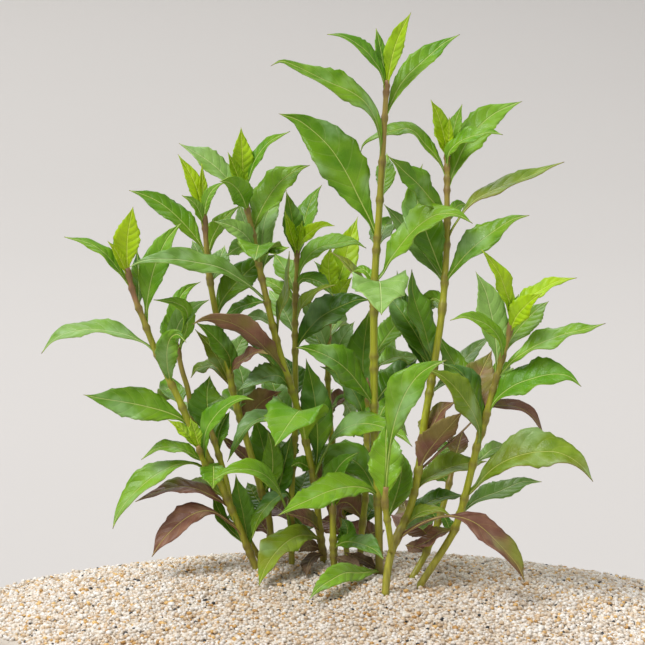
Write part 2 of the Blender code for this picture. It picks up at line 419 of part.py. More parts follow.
        Leaf(((205, 465), (204, 444), (206.5, 430), (213, 418.5), (222, 408.5), (233, 401.5), (244, 398), (255, 400)),
             11, 13, 46, "fresh"),
    ),
    "left_back_stem": (
        Leaf(((177, 350), (175, 328), (176, 310), (181, 296), (189, 287.5), (201, 281.5)), 8, -14, 20, "fresh"),
        Leaf(((178, 352), (187, 326), (186, 310), (177, 303.5), (166, 301), (153.5, 299.5)), 8, 12, 40, "fresh"),
        Leaf(((176, 354), (175, 338), (179, 324), (187, 313), (197, 305.5), (209, 299.5)), 11, 4, 36, "pale"),
        Leaf(((176, 354), (170.5, 338), (168.5, 325), (170, 308)), 9, -20, 20, "green"),
        Leaf(((192, 418), (186, 406), (181, 400)), 8, -40, 35, "pale"),
        Leaf(((246, 535), (240, 515), (232, 500)), 11, -12, 20, "dark"),
    ),
    "front_shoot": (
        Leaf(((333, 512), (331, 490), (335, 473), (345, 460), (359, 452)), 11, 6, 18, "fresh"),
        Leaf(((333, 510), (338, 492), (344, 486), (352, 480)), 7, -6, 30, "young"),
        Leaf(((334, 548), (343, 542.5), (354, 542.5), (366, 545.5), (376, 551), (384.5, 560)), 11, 26, 40, "green"),
        Leaf(((334, 540), (346, 536), (347, 526), (341, 518)), 8, -8, 20, "dark"),
        Leaf(((334, 556), (343, 560), (353, 563), (362, 569)), 6, 16, 40, "dry"),
    ),
}


def sight_point(px, py, depth):
    """The place, in millimetres, that shows at a pixel of the front view and lies this deep behind the pot's axis."""
    rise = (SHEET_MIDDLE - py) / PIXELS_PER_METRE_AHEAD
    fall = math.sin(LOOK_DOWN)
    level = math.cos(LOOK_DOWN)
    height = (rise * EYE_DISTANCE + depth * (rise * level - fall)) / (level + rise * fall)
    ahead = EYE_DISTANCE + depth * level - height * fall
    return Vector((AIM_X + (px - SHEET_MIDDLE) * ahead / PIXELS_PER_METRE_AHEAD, depth, AIM_Z + height))


def to_eye(point):
    """The direction from a point to the eye that the front view is drawn from."""
    eye = Vector((AIM_X, -EYE_DISTANCE * math.cos(LOOK_DOWN), AIM_Z + EYE_DISTANCE * math.sin(LOOK_DOWN)))
    return (eye - point).normalized()


def smooth_line(points, stations):
    """Points at these shares of the length of a smooth curve through the given ones."""
    ends = [2 * points[0] - points[1], *points, 2 * points[-1] - points[-2]]
    fine = []
    for a, b, c, d in zip(ends, ends[1:], ends[2:], ends[3:], strict=False):
        for step in range(8):
            t = step / 8
            curve = (2 * a - 5 * b + 4 * c - d) * t**2 + (3 * b - a - 3 * c + d) * t**3
            fine.append(0.5 * (2 * b + (c - a) * t + curve))
    fine.append(points[-1])
    length = [0.0]
    for a, b in zip(fine, fine[1:], strict=False):
        length.append(length[-1] + (b - a).length)
    found = []
    for share in stations:
        want = share * length[-1]
        i = next((k for k in range(1, len(fine)) if length[k] >= want), len(fine) - 1)
        part = (want - length[i - 1]) / max(length[i] - length[i - 1], 1e-9)
        found.append(fine[i - 1].lerp(fine[i], min(max(part, 0.0), 1.0)))
    return found


def stem_depth(stem, py):
    """How deep a stem lies at a height of the front view."""
    top, foot = stem.route[0][1], stem.route[-1][1]
    share = min(max((py - top) / (foot - top), 0.0), 1.0)
    return stem.top_depth + (stem.foot_depth - stem.top_depth) * share


def stem_line(stem):
    """A stem's middle line from its tip to the sand, or to the stem that it springs from."""
    return [sight_point(px, py, stem_depth(stem, py)) for px, py in stem.route]


def stem_axis(stem):
    """A stem's middle line as a close row of points."""
    return smooth_line(stem_line(stem), [k / 80 for k in range(81)])


def stem_radius(stem, share):
    """Half a stem's thickness at a share of its way down. It thickens just below the tip, then stays even."""
    return (stem.foot_width - (stem.foot_width - stem.top_width) * (1 - share) ** 3) / 2


def leaf_line(leaf, stem):
    """A leaf's midrib, which starts inside its stem and comes forward evenly along its length."""
    lengths = [0.0]
    for a, b in zip(leaf.path, leaf.path[1:], strict=False):
        lengths.append(lengths[-1] + math.dist(a, b))
    start = stem_depth(stem, leaf.path[0][1])
    line = [
        sight_point(px, py, start - leaf.out * length / lengths[-1])
        for (px, py), length in zip(leaf.path, lengths, strict=True)
    ]
    base = line[0]
    line[0] = base.lerp(min(stem_axis(stem), key=lambda point: (point - base).length), 0.8)
    return line


def width_share(share, stalk):
    """How much of its full width a leaf has at a share of its length, after its stalk."""
    blade = min(max((share - stalk) / (1 - stalk), 0.0), 1.0)
    for (a, low), (b, high) in zip(WIDTH_ALONG, WIDTH_ALONG[1:], strict=False):
        if blade <= b:
            return low + (high - low) * (blade - a) / (b - a)
    return 0.0


def leaf_frame(line, share, face):
    """The place, the side direction and the top's direction of a leaf at a share of its length."""
    before, here, after = smooth_line(line, (max(share - 0.04, 0.0), share, min(share + 0.04, 1.0)))
    along = (after - before).normalized()
    if face is LEVEL:
        side = along.cross(Vector((0.0, 0.0, 1.0))).normalized()
        return here, side, side.cross(along)
    face = math.radians(face)
    eye = to_eye(here)
    front = (eye - eye.dot(along) * along).normalized()
    upper = along.cross(front)
    if (line[-1] - line[0]).cross(eye).z < 0:
        upper = -upper
    top = front * math.cos(face) + upper * math.sin(face)
    return here, along.cross(top).normalized(), top


def start_clear_of(line, stem, clearance):
    """The share of a leaf's length where it has come this far from its stem's middle line."""
    axis = stem_axis(stem)
    share = 0.0
    for step in range(60):
        share = step / 100
        here = smooth_line(line, (share,))[0]
        if min((here - point).length for point in axis) > clearance:
            break
    return share


def stations_of(leaf, line):
    """Where along a leaf its sections lie: a short leaf has fewer."""
    if leaf.own:
        return OWN_STATIONS
    length = sum((b - a).length for a, b in zip(line, line[1:], strict=False))
    return LONG_FUSED_STATIONS if length > LONG_LEAF else FUSED_STATIONS


def leaf_mesh(name, leaf, stem):
    """A closed leaf: sections that are thin at both edges and folded along the midrib, drawn out to its tip. Its
    upper and lower walls are cut into triangles alike, from the edge of one section to the middle of the next."""
    line = leaf_line(leaf, stem)
    first = start_clear_of(line, stem, stem.foot_width / 2 + 1.3) if leaf.own else 0.0
    bm = bmesh.new()
    rings = []
    for station in stations_of(leaf, line):
        share = first + station * (1 - first)
        here, side, top = leaf_frame(line, share, leaf.face)
        half = max(leaf.width * width_share(share, leaf.stalk), PETIOLE_WIDTH) / 2
        thick = LEAF_THICKNESS / 2 * (1.0 - 0.55 * share)
        lift = half * math.tan(FOLD) * min(half / 4, 1.0)
        corners = [here - side * half + top * lift, here + side * half + top * lift, here - top * thick]
        if leaf.own:
            corners.insert(1, here + top * thick)
        rings.append([bm.verts.new(corner * MM) for corner in corners])
    tip = bm.verts.new(line[-1] * MM)
    bm.faces.new(rings[0])
    right = len(rings[0]) - 2
    for low, high in zip(rings, rings[1:], strict=False):
        for k in range(len(low)):
            if k in (0, right):
                bm.faces.new((low[k - 1], high[k - 1], low[k]))
                bm.faces.new((high[k - 1], high[k], low[k]))
            else:
                bm.faces.new((low[k - 1], high[k - 1], high[k]))
                bm.faces.new((low[k - 1], high[k], low[k]))
    for k in range(len(rings[-1])):
        bm.faces.new((rings[-1][k - 1], tip, rings[-1][k]))
    bmesh.ops.recalc_face_normals(bm, faces=bm.faces)
    if bm.calc_volume(signed=True) < 0:
        bmesh.ops.reverse_faces(bm, faces=bm.faces)
    mesh = bpy.data.meshes.new(name)
    bm.to_mesh(mesh)
    bm.free()
    return mesh


def tube_object(name, points, radii, collection):
    """A tapering round tube along points, as a closed mesh."""
    curve = bpy.data.curves.new(name, "CURVE")
    curve.dimensions = "3D"
    curve.bevel_depth = MM
    curve.bevel_resolution = 1
    curve.use_fill_caps = True
    spline = curve.splines.new("POLY")
    spline.points.add(len(points) - 1)
    for place, point, radius in zip(spline.points, points, radii, strict=True):
        place.co = (*(point * MM), 1.0)
        place.radius = radius
    wire = bpy.data.objects.new(name, curve)
    bpy.context.scene.collection.objects.link(wire)
    bpy.context.view_layer.update()
    mesh = bpy.data.meshes.new_from_object(wire.evaluated_get(bpy.context.evaluated_depsgraph_get()))
    bpy.data.objects.remove(wire)
    bpy.data.curves.remove(curve)
    bm = bmesh.new()
    bm.from_mesh(mesh)
    bmesh.ops.remove_doubles(bm, verts=bm.verts, dist=0.00002)
    bmesh.ops.recalc_face_normals(bm, faces=bm.faces)
    bm.to_mesh(mesh)
    bm.free()
    mesh.name = name
    tube = bpy.data.objects.new(name, mesh)
    collection.objects.link(tube)
    return tube


def stem_object(name, stem, collection, extra=0.0):
    """A stem's tube, which goes on straight down into the sand unless it springs from another stem."""
    count = max(4, round(len(stem.route) * 0.55))
    shares = [k / (count - 1) for k in range(count)]
    points = smooth_line(stem_line(stem), shares)
    radii = [stem_radius(stem, share) + extra for share in shares]
    if not stem.joins:
        lean = (points[-1] - points[-2]).normalized()
        points.append(points[-1] + Vector((lean.x * 0.4, lean.y * 0.4, -1.0)) * (BURIED + extra))
        radii.append(radii[-1])
    return tube_object(name, points, radii, collection)


def finish(obj, colour, roughness):
    """Gives a piece its own material."""
    material = bpy.data.materials.new(obj.name + " finish")
    material.use_nodes = True
    shader = material.node_tree.nodes["Principled BSDF"]
    shader.inputs["Base Color"].default_value = (*colour, 1.0)
    shader.inputs["Roughness"].default_value = roughness
    shader.inputs["Metallic"].default_value = 0.0
    obj.data.materials.clear()
    obj.data.materials.append(material)


def hide(obj):
    """Keeps a piece that only shapes another one out of sight."""
    obj.hide_render = True
    obj.display_type = "WIRE"


def oval_stack(name, rings, collection):
    """A closed solid through oval rings, each given as how far it lies inside the rim's outline and its height. The
    outline shrinks evenly towards the middle where a ring gives a share of it instead, as a third number."""
    bm = bmesh.new()
    ring = bmesh.ops.create_circle(bm, cap_ends=True, segments=POT_SIDES, radius=1.0)["verts"]
    turns = [math.atan2(vert.co.y, vert.co.x) for vert in ring]
    for number, (inset, height, share) in enumerate(rings):
        if number:
            edges = [edge for edge in bm.edges if all(vert in ring for vert in edge.verts)]
            grown = bmesh.ops.extrude_edge_only(bm, edges=edges)["geom"]
            new = {item for item in grown if isinstance(item, bmesh.types.BMVert)}
            ring = [next(e.other_vert(vert) for e in vert.link_edges if e.other_vert(vert) in new) for vert in ring]
        for vert, turn in zip(ring, turns, strict=True):
            vert.co.x = (RIM_HALF_LENGTH - inset) * share * math.cos(turn) * MM
            vert.co.y = (RIM_HALF_WIDTH - inset) * share * math.sin(turn) * MM
            vert.co.z = height * MM
    bmesh.ops.contextual_create(bm, geom=ring)
    bmesh.ops.recalc_face_normals(bm, faces=bm.faces)
    mesh = bpy.data.meshes.new(name)
    bm.to_mesh(mesh)
    bm.free()
    obj = bpy.data.objects.new(name, mesh)
    collection.objects.link(obj)
    return obj


def wall_point(share):
    """How far inside the rim's outline the pot's wall stands, outside, and at what height, at a share of its way up."""
    inset = FOOT_INSET + (RIM_STEP - FOOT_INSET) * math.sin(share * math.pi / 2) ** 0.8
    return inset, FLOOR_THICKNESS + (POT_HEIGHT - FLOOR_THICKNESS) * share


def make_pot(collection):
    """The pot: a flat foot, a swelling wall, a rim band and an open inside."""
    rings = [(FOOT_INSET + FOOT_CHAMFER, 0.0, 1.0), (FOOT_INSET, FOOT_CHAMFER, 1.0)]
    for share in WALL_SHARES[1:]:
        rings.append((*wall_point(share), 1.0))
    rings.append((RIM_STEP, POT_HEIGHT - RIM_BAND - RIM_STEP, 1.0))
    rings.append((0.0, POT_HEIGHT - RIM_BAND, 1.0))
    rings.append((0.0, POT_HEIGHT - RIM_ROUNDING, 1.0))
    rings.append((RIM_ROUNDING, POT_HEIGHT, 1.0))
    rings.append((WALL - RIM_ROUNDING / 2, POT_HEIGHT, 1.0))
    for share in WALL_SHARES[::-1]:
        inset, height = wall_point(share)
        rings.append((inset + WALL, height, 1.0))
    pot = oval_stack("pot", rings, collection)
    finish(pot, (0.62, 0.58, 0.53), 0.6)
    return pot


def make_sand(collection, cutters):
    """The sand: it fills the pot and is heaped over its rim, with a socket round each stem."""
    rings = []
    for share in WALL_SHARES:
        inset, height = wall_point(share)
        rings.append((inset + WALL + 2 * GAP, height + GAP, 1.0))
    for ring in range(SAND_RINGS, 0, -1):
        share = ring / SAND_RINGS
        rings.append((SAND_INSET, SAND_CREST - SAND_DROP * share**SAND_CURVE, share))
    sand = oval_stack("sand", rings, collection)
    sockets = bpy.data.collections.new("sockets")
    cutters.children.link(sockets)
    for name, stem in STEMS.items():
        if not stem.joins:
            hide(stem_object("socket for " + name, stem, sockets, SOCKET_EXTRA))
    cut = sand.modifiers.new("Sockets", "BOOLEAN")
    cut.operation = "DIFFERENCE"
    cut.solver = "EXACT"
    cut.operand_type = "COLLECTION"
    cut.collection = sockets
    finish(sand, (0.55, 0.47, 0.37), 0.9)
    return sand


def main():
    for obj in list(bpy.data.objects):
        bpy.data.objects.remove(obj)
    scene = bpy.context.scene.collection
    parts = bpy.data.collections.new("potted cardinal flower")
    cutters = bpy.data.collections.new("cutters")
    scene.children.link(parts)
    scene.children.link(cutters)
    make_pot(parts)
    make_sand(parts, cutters)
    grown = {}
    for name, stem in STEMS.items():
        root = stem.joins or name
        if stem.joins:
            hide(stem_object(name, stem, grown[root]))
        else:
            grown[name] = bpy.data.collections.new(name + " growth")
            cutters.children.link(grown[name])
            finish(stem_object(name, stem, parts), TONES["olive"], 0.5)
        for number, leaf in enumerate(LEAVES[name], 1):
            title = f"{name}_leaf_{number}"
            obj = bpy.data.objects.new(title, leaf_mesh(title, leaf, stem))
            if leaf.own:
                parts.objects.link(obj)
                finish(obj, TONES[leaf.tone], 0.45)
            else:
                grown[root].objects.link(obj)
                hide(obj)
    for name, growth in grown.items():
        join = parts.objects[name].modifiers.new("Growth", "BOOLEAN")
        join.operation = "UNION"
        join.solver = "MANIFOLD"
        join.operand_type = "COLLECTION"
        join.collection = growth


main()
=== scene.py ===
"""A clump of cardinal flower stems in coarse sand, in an oval stoneware bowl, on a pale studio floor."""

import math
import random
from typing import NamedTuple

import bmesh
import bpy
from mathutils import Matrix, Vector
from mathutils.bvhtree import BVHTree


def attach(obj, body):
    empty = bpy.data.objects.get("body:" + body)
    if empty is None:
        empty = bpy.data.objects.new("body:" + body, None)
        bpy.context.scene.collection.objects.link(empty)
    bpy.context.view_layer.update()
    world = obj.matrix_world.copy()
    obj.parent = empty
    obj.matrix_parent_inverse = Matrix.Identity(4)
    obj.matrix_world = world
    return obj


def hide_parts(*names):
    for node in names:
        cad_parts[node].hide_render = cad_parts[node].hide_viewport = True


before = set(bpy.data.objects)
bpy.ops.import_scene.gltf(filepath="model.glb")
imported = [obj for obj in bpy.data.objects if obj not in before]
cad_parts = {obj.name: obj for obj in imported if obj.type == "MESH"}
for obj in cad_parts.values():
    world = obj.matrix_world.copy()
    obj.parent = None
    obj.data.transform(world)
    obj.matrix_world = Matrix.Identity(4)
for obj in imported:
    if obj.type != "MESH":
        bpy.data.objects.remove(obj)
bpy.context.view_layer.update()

# The bowl
# One pressed oval of matt sand-coloured stoneware, with a flat foot, a swelling wall and a band left proud
# round the rim. It has no hole and no glaze, and its foot rests flat on the floor.
MM = 0.001
POT_HEIGHT = 64.0
RIM_HALF_LENGTH = 188.0
RIM_HALF_WIDTH = 120.0
FOOT_INSET = 25.0
WALL = 6.0
FLOOR_THICKNESS = 8.0
RIM_BAND = 12.0
RIM_STEP = 2.0
WALL_STEPS = 10
POT_SIDES = 120


def wall_point(share):
    """How far inside the rim's outline the outer wall stands, and how high, at a share of its way up."""
    inset = FOOT_INSET + (RIM_STEP - FOOT_INSET) * math.sin(share * math.pi / 2) ** 0.8
    return inset, FLOOR_THICKNESS + (POT_HEIGHT - FLOOR_THICKNESS) * share


def new_material(name, roughness):
    """A material with its shader and with functions that add a node, link the shader and mix two colours."""
    material = bpy.data.materials.new(name)
    material.use_nodes = True
    tree = material.node_tree
    shader = tree.nodes["Principled BSDF"]
    shader.inputs["Roughness"].default_value = roughness

    def node(kind, values=(), **settings):
        made = tree.nodes.new("ShaderNode" + kind)
        for key, value in settings.items():
            setattr(made, key, value)
        for socket, value in dict(values).items():
            place = made.inputs[socket]
            if isinstance(value, bpy.types.NodeSocket):
                tree.links.new(value, place)
            else:
                place.default_value = value
        return made

    def link(socket, name):
        tree.links.new(socket, shader.inputs[name])

    def mix(share, one, other, blend_type="MIX"):
        made = node("Mix", {"Factor": share}, data_type="RGBA", blend_type=blend_type)
        for place, value in ((6, one), (7, other)):
            if isinstance(value, tuple):
                made.inputs[place].default_value = (*value, 1.0)
            else:
                tree.links.new(value, made.inputs[place])
        return made.outputs[2]

    return material, shader, node, link, mix


def next_ring(bm, ring):
    """Extrudes an open ring of vertices, and gives the new ring in the same order."""
    edges = [edge for edge in {e for v in ring for e in v.link_edges} if all(v in ring for v in edge.verts)]
    grown = set(bmesh.ops.extrude_edge_only(bm, edges=edges)["geom"])
    rising = [[edge.other_vert(vert) for edge in vert.link_edges] for vert in ring]
    return [next(other for other in others if other in grown) for others in rising]


def ramp(made, stops, interpolation="LINEAR"):
    """Sets a colour ramp's stops, given as place and colour."""
    band = made.color_ramp
    band.interpolation = interpolation
    while len(band.elements) > len(stops):
        band.elements.remove(band.elements[-1])
    while len(band.elements) < len(stops):
        band.elements.new(1.0)
    for element, (place, colour) in zip(band.elements, stops):
        element.position = place
        element.color = (*colour, 1.0)
    return made.outputs["Color"]


def finish_piece(bm, name, materials, replaced):
    """Turns a bmesh into a smooth piece that rides on the root body, in place of the solids named."""
    mesh = bpy.data.meshes.new(name)
    bm.to_mesh(mesh)
    bm.free()
    mesh.shade_smooth()
    for material in materials:
        mesh.materials.append(material)
    piece = bpy.data.objects.new(name, mesh)
    bpy.context.scene.collection.objects.link(piece)
    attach(piece, "root")
    if replaced:
        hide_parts(*replaced)
    return piece


stoneware, shader, node, link, mix = new_material("stoneware", 0.62)
place = node("TexCoord").outputs["Object"]
clouds = node("TexNoise", {"Vector": place, "Scale": 22.0, "Detail": 5.0}).outputs["Fac"]
body = ramp(node("ValToRGB", {"Fac": clouds}), ((0.3, (0.56, 0.50, 0.43)), (0.7, (0.68, 0.62, 0.54))))
specks = node("TexVoronoi", {"Vector": place, "Scale": 420.0}).outputs["Distance"]
dots = ramp(node("ValToRGB", {"Fac": specks}), ((0.10, (0.35, 0.35, 0.35)), (0.16, (1.0, 1.0, 1.0))))
link(mix(1.0, body, dots, "MULTIPLY"), "Base Color")
grain = node("TexNoise", {"Vector": place, "Scale": 900.0, "Detail": 3.0}).outputs["Fac"]
ridges = node("TexWave", {"Vector": place, "Scale": 55.0, "Distortion": 1.5}, bands_direction="Z")
rough_ground = node("Math", {0: grain, 1: ridges.outputs["Fac"]}, operation="ADD").outputs["Value"]
link(node("Bump", {"Height": rough_ground, "Strength": 0.25, "Distance": 0.0004}).outputs["Normal"], "Normal")

rings = [(FOOT_INSET + 5.0, 0.0), (FOOT_INSET + 1.6, 0.0), (FOOT_INSET + 0.4, 0.6), (FOOT_INSET, 1.8)]
for step in range(1, WALL_STEPS - 1):
    rings.append(wall_point(step / WALL_STEPS))
rings += [(RIM_STEP, POT_HEIGHT - RIM_BAND - 2.4), (RIM_STEP - 0.2, POT_HEIGHT - RIM_BAND - 1.6)]
rings += [(0.5, POT_HEIGHT - RIM_BAND - 0.4), (0.0, POT_HEIGHT - RIM_BAND + 0.6), (0.0, POT_HEIGHT - 3.0)]
rings += [(0.5, POT_HEIGHT - 1.2), (1.7, POT_HEIGHT - 0.3), (3.0, POT_HEIGHT), (4.2, POT_HEIGHT - 0.2)]
rings += [(WALL, POT_HEIGHT - 1.2), (WALL + 0.4, POT_HEIGHT - 3.0)]
for step in (8, 5, 2, 0):
    inset, height = wall_point(step / WALL_STEPS)
    rings.append((inset + WALL, height))
bm = bmesh.new()
loop = bmesh.ops.create_circle(bm, cap_ends=True, segments=POT_SIDES, radius=1.0)["verts"]
turns = [math.atan2(vert.co.y, vert.co.x) for vert in loop]
for number, (inset, height) in enumerate(rings):
    if number:
        loop = next_ring(bm, loop)
    for vert, turn in zip(loop, turns):
        vert.co.x = (RIM_HALF_LENGTH - inset) * math.cos(turn) * MM
        vert.co.y = (RIM_HALF_WIDTH - inset) * math.sin(turn) * MM
        vert.co.z = height * MM
bmesh.ops.contextual_create(bm, geom=loop)
bmesh.ops.recalc_face_normals(bm, faces=bm.faces)
finish_piece(bm, "stoneware_bowl", [stoneware], ["pot"])

# The sand
# Washed river sand of 1 to 3 mm, heaped until it spills on the rim, with painted shadow on the grains in
# front of the plant. Its body keeps its solid. The top layer is thousands of loose grains, more of them over
# the seam with the bowl: clouded and clear quartz, feldspar, ochre stones and black ore.
SPILL = 1.8
SEAM = (5.4, 8.0)
SEAM_SHARE = 0.07
GRAIN_RADIUS = 1.1
ORE_RADIUS = 0.75
RADIUS_SPREAD = 0.26
SMALLEST_RADIUS = 0.5
LARGEST_RADIUS = 1.9
ABOVE_ALL = 200.0
GRAINS_TO_A_HANDFUL = 50
# Painted shadow: an oval in front of the plant where the grains are darker, as the plant's shade falls there.
SHADOW_MIDDLE = (10.0, -60.0)
SHADOW_REACH = (85.0, 60.0)
PAINTED_SHADOW_DEPTH = 0.55
GRAIN_KINDS = {
    "milky_grains": (9600, ((0.70, 0.64, 0.57), (0.94, 0.91, 0.87)), 0.3),
    "clear_grains": (2400, ((0.72, 0.66, 0.58), (0.95, 0.92, 0.86)), 0.12),
    "cream_grains": (9600, ((0.62, 0.52, 0.41), (0.88, 0.79, 0.68)), 0.35),
    "tan_grains": (5400, ((0.54, 0.39, 0.24), (0.78, 0.62, 0.44)), 0.4),
    "ochre_grains": (2400, ((0.50, 0.27, 0.08), (0.84, 0.55, 0.20)), 0.35),
    "black_grains": (1700, ((0.012, 0.013, 0.018), (0.08, 0.08, 0.085)), 0.35),
}

packed_sand, shader, node, link, mix = new_material("packed sand", 0.85)
place = node("TexCoord").outputs["Object"]
cells = node("TexVoronoi", {"Vector": place, "Scale": 620.0}).outputs["Color"]
stones = ramp(
    node("ValToRGB", {"Fac": cells}),
    (
        (0.0, (0.50, 0.36, 0.22)),
        (0.2, (0.70, 0.60, 0.48)),
        (0.5, (0.80, 0.74, 0.65)),
        (0.8, (0.88, 0.85, 0.80)),
    ),
    "CONSTANT",
)
link(stones, "Base Color")
bumps = node("TexVoronoi", {"Vector": place, "Scale": 620.0}).outputs["Distance"]
relief = node("Bump", {"Height": bumps, "Strength": 0.8, "Distance": 0.0008}, invert=True)
link(relief.outputs["Normal"], "Normal")
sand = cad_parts["sand"]
sand.data.materials.clear()
sand.data.materials.append(packed_sand)

chance = random.Random(17)
sand_top = BVHTree.FromObject(sand, bpy.context.evaluated_depsgraph_get())
for kind, (count, shades, roughness) in GRAIN_KINDS.items():
    gravel, shader, node, link, mix = new_material(kind, roughness)
    place = node("TexCoord").outputs["Object"]
    # Each grain's shade within its kind, lowered by the painted shadow in front of the plant.
    tint_and_shadow = node("Attribute", attribute_name="tint_and_shadow").outputs["Fac"]
    clouds = node("TexNoise", {"Vector": place, "Scale": 900.0, "Detail": 1.0}).outputs["Fac"]
    blend = node("Math", {0: clouds, 1: 0.5, 2: tint_and_shadow}, operation="MULTIPLY_ADD").outputs["Value"]
    link(ramp(node("ValToRGB", {"Fac": blend}), ((0.2, shades[0]), (1.0, shades[1]))), "Base Color")
    bed = bmesh.new()
    handful = bpy.data.meshes.new("handful")
    for laid in range(0, count, GRAINS_TO_A_HANDFUL):
        fresh = bmesh.new()
        shade = fresh.verts.layers.float.new("tint_and_shadow")
        for _ in range(min(GRAINS_TO_A_HANDFUL, count - laid)):
            over_seam = chance.random() < SEAM_SHARE
            inset = chance.uniform(*SEAM) if over_seam else SPILL
            share = 1.0 if over_seam else math.sqrt(chance.random())
            bearing = chance.uniform(0.0, 2 * math.pi)
            x = (RIM_HALF_LENGTH - inset) * share * math.cos(bearing)
            y = (RIM_HALF_WIDTH - inset) * share * math.sin(bearing)
            ground = sand_top.ray_cast(Vector((x, y, ABOVE_ALL)) * MM, Vector((0.0, 0.0, -1.0)))[0]
            ground = ground or Vector((x, y, POT_HEIGHT)) * MM
            radius = chance.gauss(ORE_RADIUS if kind == "black_grains" else GRAIN_RADIUS, RADIUS_SPREAD)
            radius = min(max(radius, SMALLEST_RADIUS), LARGEST_RADIUS) * MM
            squash = (chance.uniform(0.8, 1.2), chance.uniform(0.7, 1.0), chance.uniform(0.6, 0.85))
            spin = Matrix.Rotation(chance.uniform(0, 6.28), 3, "Z")
            shape = spin @ Matrix.Rotation(chance.uniform(-0.7, 0.7), 3, "X") @ Matrix.Diagonal(squash)
            middle = ground + Vector((0.0, 0.0, chance.uniform(-0.1, 0.7) * radius))
            corners = bmesh.ops.create_icosphere(fresh, subdivisions=1, radius=1.0)["verts"]
            for corner in corners:
                corner.co = middle + shape @ (corner.co * radius * chance.uniform(0.85, 1.12))
            # Painted shadow of the plant: grains near the middle in front get a darker tint.
            aside = (ground.x / MM - SHADOW_MIDDLE[0]) / SHADOW_REACH[0]
            ahead = (ground.y / MM - SHADOW_MIDDLE[1]) / SHADOW_REACH[1]
            tone = chance.random() * 0.85 - PAINTED_SHADOW_DEPTH * math.exp(-(aside**2) - ahead**2)
            for corner in corners:
                corner[shade] = tone
        fresh.to_mesh(handful)
        fresh.free()
        bed.from_mesh(handful)
    bpy.data.meshes.remove(handful)
    finish_piece(bed, kind, [gravel], ())

# The tall stem
# The longest cutting, in the middle. Like each of the twelve it is a juicy stalk, swollen and scarred at its
# joints, with thin blades, folded along the midrib, that narrow into a winged stalk. Routes are given as seen
# from the front: by an eye a metre away that looks 6 degrees down, at half a millimetre to each unit.
SAND_CREST = 81.0
SHEET_MIDDLE = 322.5
PIXELS_PER_METRE_AHEAD = 2000.0
EYE_DISTANCE = 1000.0
LOOK_DOWN = math.radians(6.0)
AXIS_PIXEL = 336.0
MILLIMETRES_TO_A_PIXEL = 0.5
AIM_HEIGHT = 128.1
AIM_X = (SHEET_MIDDLE - AXIS_PIXEL) * MILLIMETRES_TO_A_PIXEL
AIM_Z = SAND_CREST + AIM_HEIGHT
EYE = Vector((AIM_X, -EYE_DISTANCE * math.cos(LOOK_DOWN), AIM_Z + EYE_DISTANCE * math.sin(LOOK_DOWN)))
STALK_SIDES = 12
BLADE_ALONG = 34
BLADE_ACROSS = 8
BLADE_THICKNESS = 0.4
PETIOLE_WIDTH = 1.7
STATION_LENGTH = 1.5
KNOT_LENGTH = 1.5
KNOT_SWELLING = 0.6
BURIED = 6.0
TOOTH_SIZES = (0.93, 0.98, 1.0, 1.05)
CURVE_PARTS = 8
AXIS_STEPS = 80


class Stem(NamedTuple):
    """A stem from its tip down to the sand, with its depths and thicknesses in millimetres at both ends."""

    route: tuple
    top_depth: float
    foot_depth: float
    top_width: float = 2.6
    foot_width: float = 3.6


LEVEL = None


class Leaf(NamedTuple):
    """A leaf from its base to its tip. out is how far its tip comes forward, in millimetres. face is how far
    its top turns away from the eye, in degrees, or LEVEL where it arches towards the eye with both halves
    level. stalk is the narrow share of its length. An own leaf is its own piece."""

    path: tuple
    width: float
    out: float = 0.0
    face: float = 30.0
    tone: str = "green"
    own: bool = False
    stalk: float = 0.05


# Each tone gives deep and light mottle colours, the midrib's colour, a patch colour and a roughness. The pale
# leaves' tone is green lightened with painted sheen, for leaves that catch more light.
TONES = {
    "green": ((0.095, 0.245, 0.004), (0.220, 0.420, 0.022), (0.52, 0.62, 0.16), (0.20, 0.38, 0.014), 0.34),
    "dark": ((0.050, 0.150, 0.003), (0.135, 0.300, 0.016), (0.38, 0.48, 0.09), (0.14, 0.25, 0.006), 0.32),
    "pale": ((0.150, 0.310, 0.040), (0.290, 0.490, 0.115), (0.58, 0.70, 0.28), (0.22, 0.42, 0.040), 0.38),
    "fresh": ((0.105, 0.290, 0.006), (0.225, 0.450, 0.030), (0.52, 0.66, 0.18), (0.20, 0.40, 0.014), 0.36),
    "young": ((0.240, 0.440, 0.002), (0.400, 0.620, 0.008), (0.62, 0.76, 0.10), (0.43, 0.62, 0.004), 0.40),
    "olive": ((0.130, 0.225, 0.006), (0.250, 0.360, 0.025), (0.48, 0.54, 0.12), (0.22, 0.24, 0.015), 0.36),
    "bronze": ((0.170, 0.070, 0.045), (0.300, 0.150, 0.090), (0.50, 0.42, 0.12), (0.20, 0.27, 0.020), 0.38),
    "dry": ((0.115, 0.070, 0.040), (0.260, 0.165, 0.100), (0.32, 0.23, 0.12), (0.15, 0.08, 0.03), 0.60),
}
